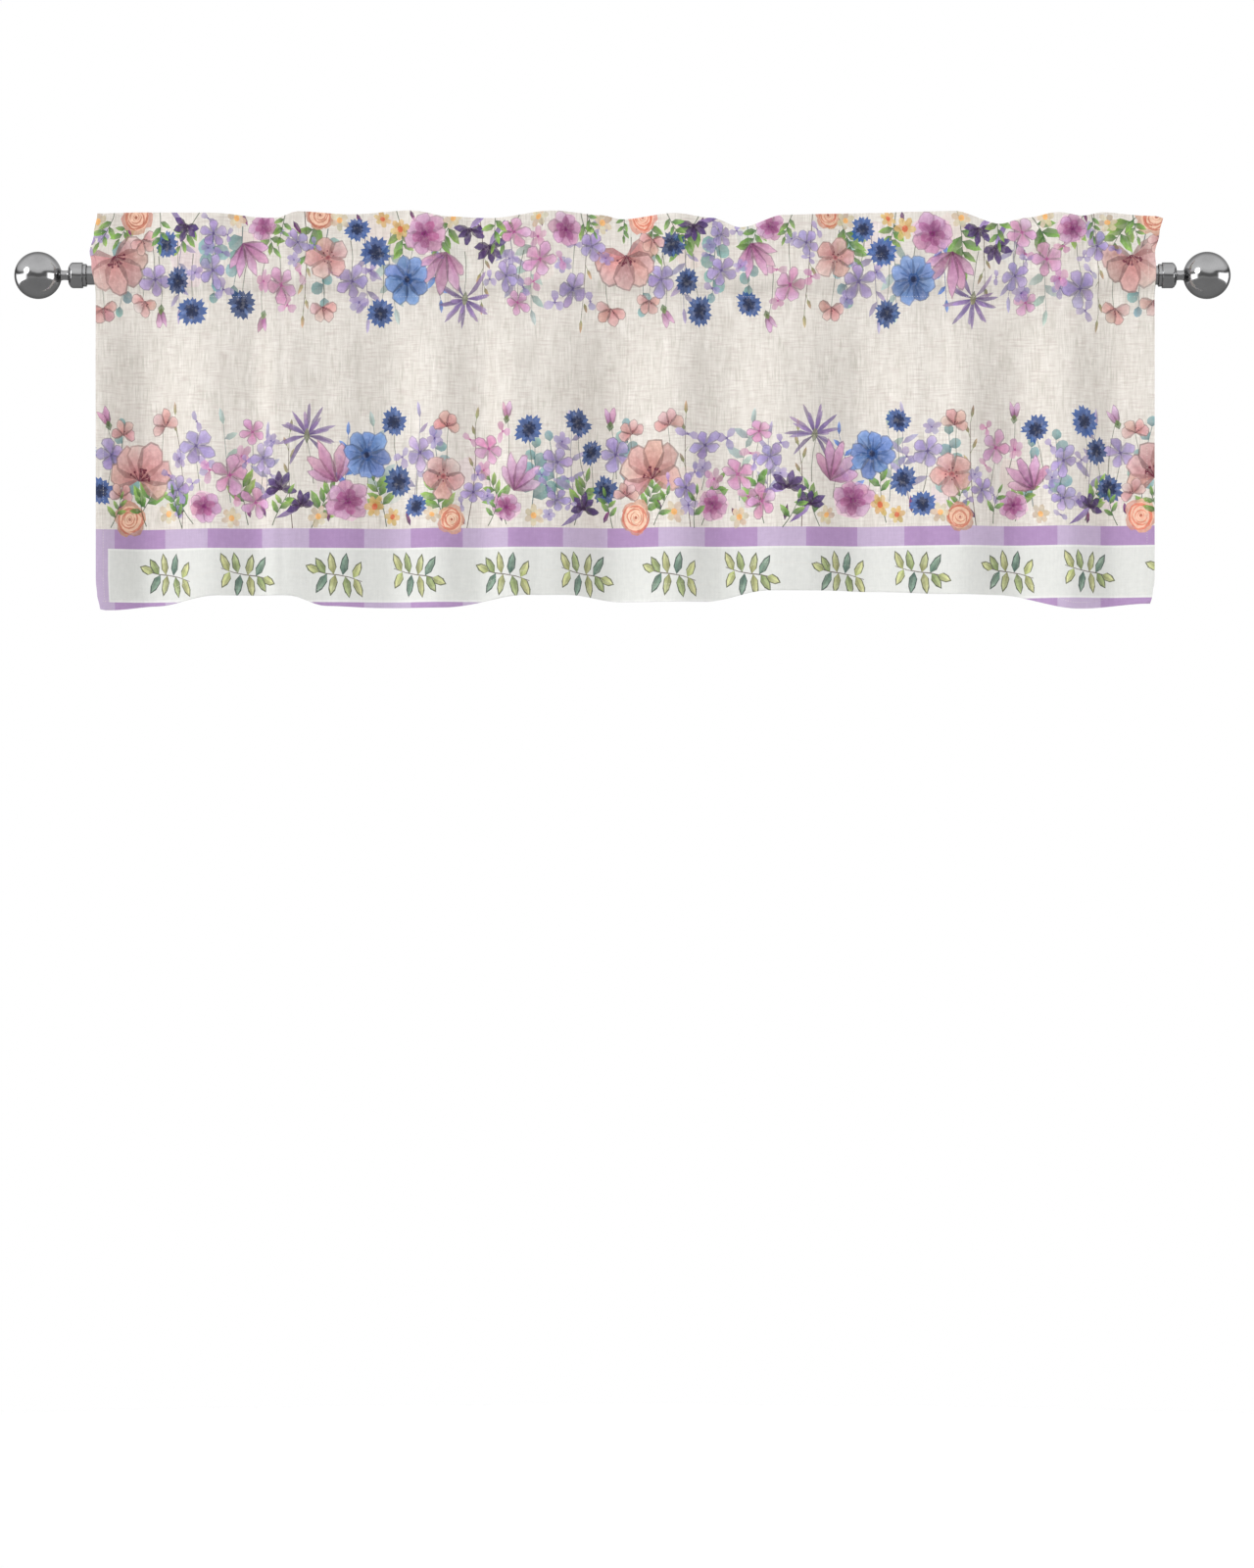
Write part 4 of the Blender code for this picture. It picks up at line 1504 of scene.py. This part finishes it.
class RodSettings(bpy.types.PropertyGroup):
    tube_radius: FloatProperty(
        name="Tube radius", description="Outer radius of the rod", default=0.011, unit="LENGTH"
    )
    collar_radius: FloatProperty(
        name="Collar radius", description="Radius of the collar's main ring", default=0.015, unit="LENGTH"
    )
    ball_radius: FloatProperty(
        name="Ball radius", description="Radius of the ball finials", default=0.0275, unit="LENGTH"
    )
    metal_colour: FloatVectorProperty(
        name="Metal", description="Colour of the polished metal", default=(0.4, 0.4, 0.405), subtype="COLOR"
    )


class ClothSettings(bpy.types.PropertyGroup):
    thickness: FloatProperty(
        name="Thickness", description="Thickness of the sheet", default=0.001, unit="LENGTH"
    )
    light_thread: FloatVectorProperty(
        name="Light thread",
        description="Colour of the ground's light threads",
        default=tuple(linear((252, 247, 240))),
        subtype="COLOR",
    )
    dark_thread: FloatVectorProperty(
        name="Dark thread",
        description="Colour of the ground's dark threads",
        default=tuple(linear((206, 199, 189))),
        subtype="COLOR",
    )


class StageSettings(bpy.types.PropertyGroup):
    floor_drop: FloatProperty(
        name="Floor drop", description="Height of the rod above the floor", default=2.1, unit="LENGTH"
    )
    camera_distance: FloatProperty(
        name="Camera distance", description="Camera to rod", default=6.0, unit="LENGTH"
    )
    frame_height: FloatProperty(
        name="Frame height", description="Height in view at the rod", default=1.828, unit="LENGTH"
    )
    sun_strength: FloatProperty(name="Side light", description="Light from the left", default=1.3)
    sky_strength: FloatProperty(name="Room light", description="Even room light", default=1.11)


# Operators


def finish_piece(piece, slot, materials, *nodes):
    for material in materials:
        piece.data.materials.append(material)
    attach(piece, BODY)
    if nodes:
        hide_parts(*nodes)


# The rod and its finials, in metres. The collar has a rim at its inner end, a groove, a ring and a
# chamfer at its outer end.
TUBE_WALL = 0.001
SEAT_ROOM = 0.0003
HUB = 0.0004
RIM_STEP, RIM_END = 0.0018, 0.0034
GROOVE_STEP, GROOVE_END = 0.0025, 0.0044
CHAMFER_START, CHAMFER_MIDDLE = 0.0042, 0.0022
CHAMFER_STEP, END_STEP = 0.0012, 0.0046
NECK_WAIST, NECK_FLARE = 0.0055, 0.0008
NECK_STEPS = 12
BALL_SEAT = 0.007
BALL_STEPS = 55
POLE = 0.00002


def collar_profile(settings):
    radius = settings.collar_radius
    bore = settings.tube_radius + SEAT_ROOM
    low, high = COLLAR_START, COLLAR_END
    seat = TUBE_END + SEAT_ROOM
    return [
        (seat, HUB),
        (seat, bore),
        (low, bore),
        (low, radius - RIM_STEP),
        (low + RIM_END, radius - RIM_STEP),
        (low + RIM_END, radius - GROOVE_STEP),
        (low + GROOVE_END, radius - GROOVE_STEP),
        (low + GROOVE_END, radius),
        (high - CHAMFER_START, radius),
        (high - CHAMFER_MIDDLE, radius - CHAMFER_STEP),
        (high, radius - END_STEP),
        (high, HUB),
    ]


def neck_profile():
    long = NECK_END - NECK_START
    shares = np.linspace(0, 1, NECK_STEPS + 1)
    return [(NECK_START + long * t, NECK_WAIST + NECK_FLARE * abs(2 * t - 1) ** 3) for t in shares]


def ball_profile(radius):
    centre = BALL_END - radius
    turns = np.linspace(math.asin(BALL_SEAT / radius), math.pi, BALL_STEPS + 1)
    return [(centre - radius * math.cos(t), max(radius * math.sin(t), POLE)) for t in turns]


class VALANCE_OT_rod(bpy.types.Operator):
    """Make the tube and its two finials"""

    bl_idname = "valance.rod"
    bl_label = "Rod and finials"

    def execute(self, context):
        settings = context.scene.valance_rod
        marks = polish_marks()
        colour = tuple(settings.metal_colour)
        tube_metal = metal_material("polished tube", marks, colour, 0.2, 40.0)
        ball_metal = metal_material("polished finial", marks, colour, 0.1, 70.0)

        end, outer = TUBE_END, settings.tube_radius
        inner = outer - TUBE_WALL
        profile = ((-end, outer), (end, outer), (end, inner), (-end, inner), (-end, outer))
        tube = turned_piece("curtain_rod", profile, True)
        soften(tube, 0.0002, 2)
        finish_piece(tube, "rod", [tube_metal], "rod_tube")

        parts = (
            ("collar", collar_profile(settings), 0.0004, 3),
            ("neck", neck_profile(), 0.0002, 2),
            ("ball", ball_profile(settings.ball_radius), 0.0002, 2),
        )
        for side, way in (("left", -1), ("right", 1)):
            for part, profile, width, segments in parts:
                piece = turned_piece(f"finial_{part}_{side}", [(x * way, r) for x, r in profile])
                soften(piece, width, segments)
                finish_piece(piece, "finial", [ball_metal], f"{part}_{side}")
        return {"FINISHED"}


class VALANCE_OT_cloth(bpy.types.Operator):
    """Make the printed cloth and its stitching"""

    bl_idname = "valance.cloth"
    bl_label = "Cloth"

    def execute(self, context):
        settings = context.scene.valance_cloth
        thickness = settings.thickness / MM
        mesh = sheet_mesh(thickness)
        cloth = bpy.data.objects.new("valance_cloth", mesh)
        context.scene.collection.objects.link(cloth)
        weave = linen_weave()
        light, dark = tuple(settings.light_thread), tuple(settings.dark_thread)
        printed = cloth_material("printed linen", weave, light, dark, 1.0, 0.22)
        plain = cloth_material("linen reverse", weave, light, dark, 0.26, 0.3)
        finish_piece(cloth, "cloth", [printed, plain], "valance")

        corners = []
        for path in seam_paths():
            corners.append(stitches(path, thickness / 2))
            if path[0][0] != path[-1][0]:
                corners.append(stitches(path, -thickness / 2 - BACK_SINK))
        corners = np.concatenate(corners)
        faces = stitch_faces(*corners.shape[:3])
        mesh = bpy.data.meshes.new("valance_stitching")
        mesh.from_pydata((corners.reshape(-1, 3) * MM).tolist(), [], faces.tolist())
        mesh.shade_smooth()
        thread = bpy.data.objects.new("valance_stitching", mesh)
        context.scene.collection.objects.link(thread)
        finish_piece(thread, "cloth", [thread_material()])
        return {"FINISHED"}


# The stage, in metres
FLOOR_RADIUS = 6.5
FLOOR_TONES = (0.94, 0.96)
FLOOR_IN_GLOSS = 0.33
SUN_SPREAD = math.radians(24)
SUN_WAY = (0.86, 0.62, -0.34)
CAMERA_ASIDE = 0.0053
CAMERA_HEIGHT = -0.593
SENSOR = 36.0
# Grey of the studio at shares of the way from straight down to straight up.
SKY_STOPS = (
    (0.0, 0.3), (0.3, 0.35), (0.38, 0.42), (0.43, 0.2), (0.52, 0.16),
    (0.56, 0.3), (0.61, 0.84), (0.75, 1.0), (0.92, 0.95), (1.0, 0.85),
)
BOX_LIGHT = 2.6
DARK_PATCH = 0.04


def lay_floor(settings):
    """A plain pale floor, which is darker where polished metal mirrors it."""
    deselect()
    bpy.ops.mesh.primitive_circle_add(
        vertices=ROUND_STEPS, radius=FLOOR_RADIUS, fill_type="NGON", location=(0, 0, -settings.floor_drop)
    )
    floor = bpy.context.object
    floor.name = "floor"
    material, graph = new_material("pale floor")
    cloud = graph.noise(graph.add("ShaderNodeTexCoord").outputs["Object"], 1.5, 3.0)
    pale = graph.mix(cloud, *(grey_of(tone) for tone in FLOOR_TONES))
    mirrored = graph.add("ShaderNodeLightPath").outputs["Is Glossy Ray"]
    base = graph.mix(mirrored, pale, grey_of(FLOOR_IN_GLOSS))
    close_material(graph, base, 0.9, Specular_IOR_Level=0.0)
    floor.data.materials.append(material)


def light_room(scene, settings):
    """A soft studio: two bright boxes at the sides with a dark streak above each, a dark patch high
    up behind the rod, and a white backdrop that only the camera sees."""
    scene.world = bpy.data.worlds.new("studio")
    scene.world.use_nodes = True
    scene.world.node_tree.nodes.clear()
    graph = Graph(scene.world.node_tree)
    seen = graph.add("ShaderNodeLightPath").outputs["Is Camera Ray"]
    split = graph.add("ShaderNodeSeparateXYZ")
    graph.link(graph.add("ShaderNodeTexCoord").outputs["Generated"], split.inputs[0])
    side, depth, lift = split.outputs
    wave = graph.math("SINE", graph.plus(graph.times(side, 5.0), 0.9))
    tilted = graph.plus(lift, graph.times(wave, 0.05))
    aside = graph.math("ABSOLUTE", side)
    ramp = graph.add("ShaderNodeValToRGB")
    graph.link(graph.remap(tilted, -1.0, 1.0), ramp.inputs[0])
    while len(ramp.color_ramp.elements) < len(SKY_STOPS):
        ramp.color_ramp.elements.new(0.5)
    for element, (place, value) in zip(ramp.color_ramp.elements, SKY_STOPS):
        element.position = place
        element.color = grey_of(value)
    tall = graph.times(graph.remap(tilted, -0.34, -0.28), graph.remap(tilted, 0.14, 0.07))
    boxes = graph.times(graph.times(graph.remap(aside, 0.74, 0.86), tall), BOX_LIGHT)
    streak = graph.times(graph.remap(tilted, 0.1, 0.14), graph.remap(tilted, 0.3, 0.22))
    streak = graph.times(streak, graph.remap(aside, 0.35, 0.6, 0.0, 0.85))
    behind = graph.times(graph.remap(depth, 0.3, 0.75, 0.0, 0.5), graph.remap(lift, 0.3, 0.6))
    rest = graph.mix(graph.math("MAXIMUM", behind, streak), ramp.outputs[0], grey_of(DARK_PATCH))
    soft = graph.mix(1.0, rest, graph.grey(boxes), "ADD")
    dim = graph.mix(1.0, soft, grey_of(settings.sky_strength), "MULTIPLY")
    background = graph.add("ShaderNodeBackground")
    graph.link(graph.mix(seen, dim, grey_of(1.0)), background.inputs["Color"])
    output = graph.add("ShaderNodeOutputWorld")
    graph.link(background.outputs[0], output.inputs["Surface"])

    lamp = bpy.data.lights.new("side light", "SUN")
    lamp.energy = settings.sun_strength
    lamp.angle = SUN_SPREAD
    light = bpy.data.objects.new("side light", lamp)
    light.rotation_euler = Vector(SUN_WAY).to_track_quat("-Z", "Y").to_euler()
    scene.collection.objects.link(light)


def set_camera(scene, settings):
    """A level camera in front of the rod, with the frame below the rod's height."""
    camera = bpy.data.objects.new("camera", bpy.data.cameras.new("camera"))
    camera.data.sensor_width = SENSOR
    camera.data.lens = SENSOR * settings.camera_distance / settings.frame_height
    camera.location = (CAMERA_ASIDE, -settings.camera_distance, CAMERA_HEIGHT)
    camera.rotation_euler = (math.pi / 2, 0.0, 0.0)
    scene.collection.objects.link(camera)
    scene.camera = camera
    scene.view_settings.view_transform = "Standard"


class VALANCE_OT_stage(bpy.types.Operator):
    """Make the floor, the light and the camera"""

    bl_idname = "valance.stage"
    bl_label = "Stage"

    def execute(self, context):
        settings = context.scene.valance_stage
        lay_floor(settings)
        light_room(context.scene, settings)
        set_camera(context.scene, settings)
        return {"FINISHED"}


class VALANCE_PT_panel(bpy.types.Panel):
    """Lists the valance's sizes, colours and steps"""

    bl_idname = "VALANCE_PT_panel"
    bl_label = "Window valance"
    bl_space_type = "VIEW_3D"
    bl_region_type = "UI"
    bl_category = "Valance"

    def draw(self, context):
        scene = context.scene
        for settings in (scene.valance_rod, scene.valance_cloth, scene.valance_stage):
            box = self.layout.box()
            for name in settings.bl_rna.properties.keys():
                if name not in {"rna_type", "name"}:
                    box.prop(settings, name)
        for step in STEPS:
            self.layout.operator(step.bl_idname)


STEPS = (VALANCE_OT_rod, VALANCE_OT_cloth, VALANCE_OT_stage)
CLASSES = (RodSettings, ClothSettings, StageSettings, *STEPS, VALANCE_PT_panel)


def register():
    for one in CLASSES:
        bpy.utils.register_class(one)
    bpy.types.Scene.valance_rod = PointerProperty(type=RodSettings)
    bpy.types.Scene.valance_cloth = PointerProperty(type=ClothSettings)
    bpy.types.Scene.valance_stage = PointerProperty(type=StageSettings)


def unregister():
    del bpy.types.Scene.valance_rod
    del bpy.types.Scene.valance_cloth
    del bpy.types.Scene.valance_stage
    for one in reversed(CLASSES):
        bpy.utils.unregister_class(one)


def main():
    register()
    bpy.ops.valance.rod()
    bpy.ops.valance.cloth()
    bpy.ops.valance.stage()


if __name__ == "__main__":
    main()
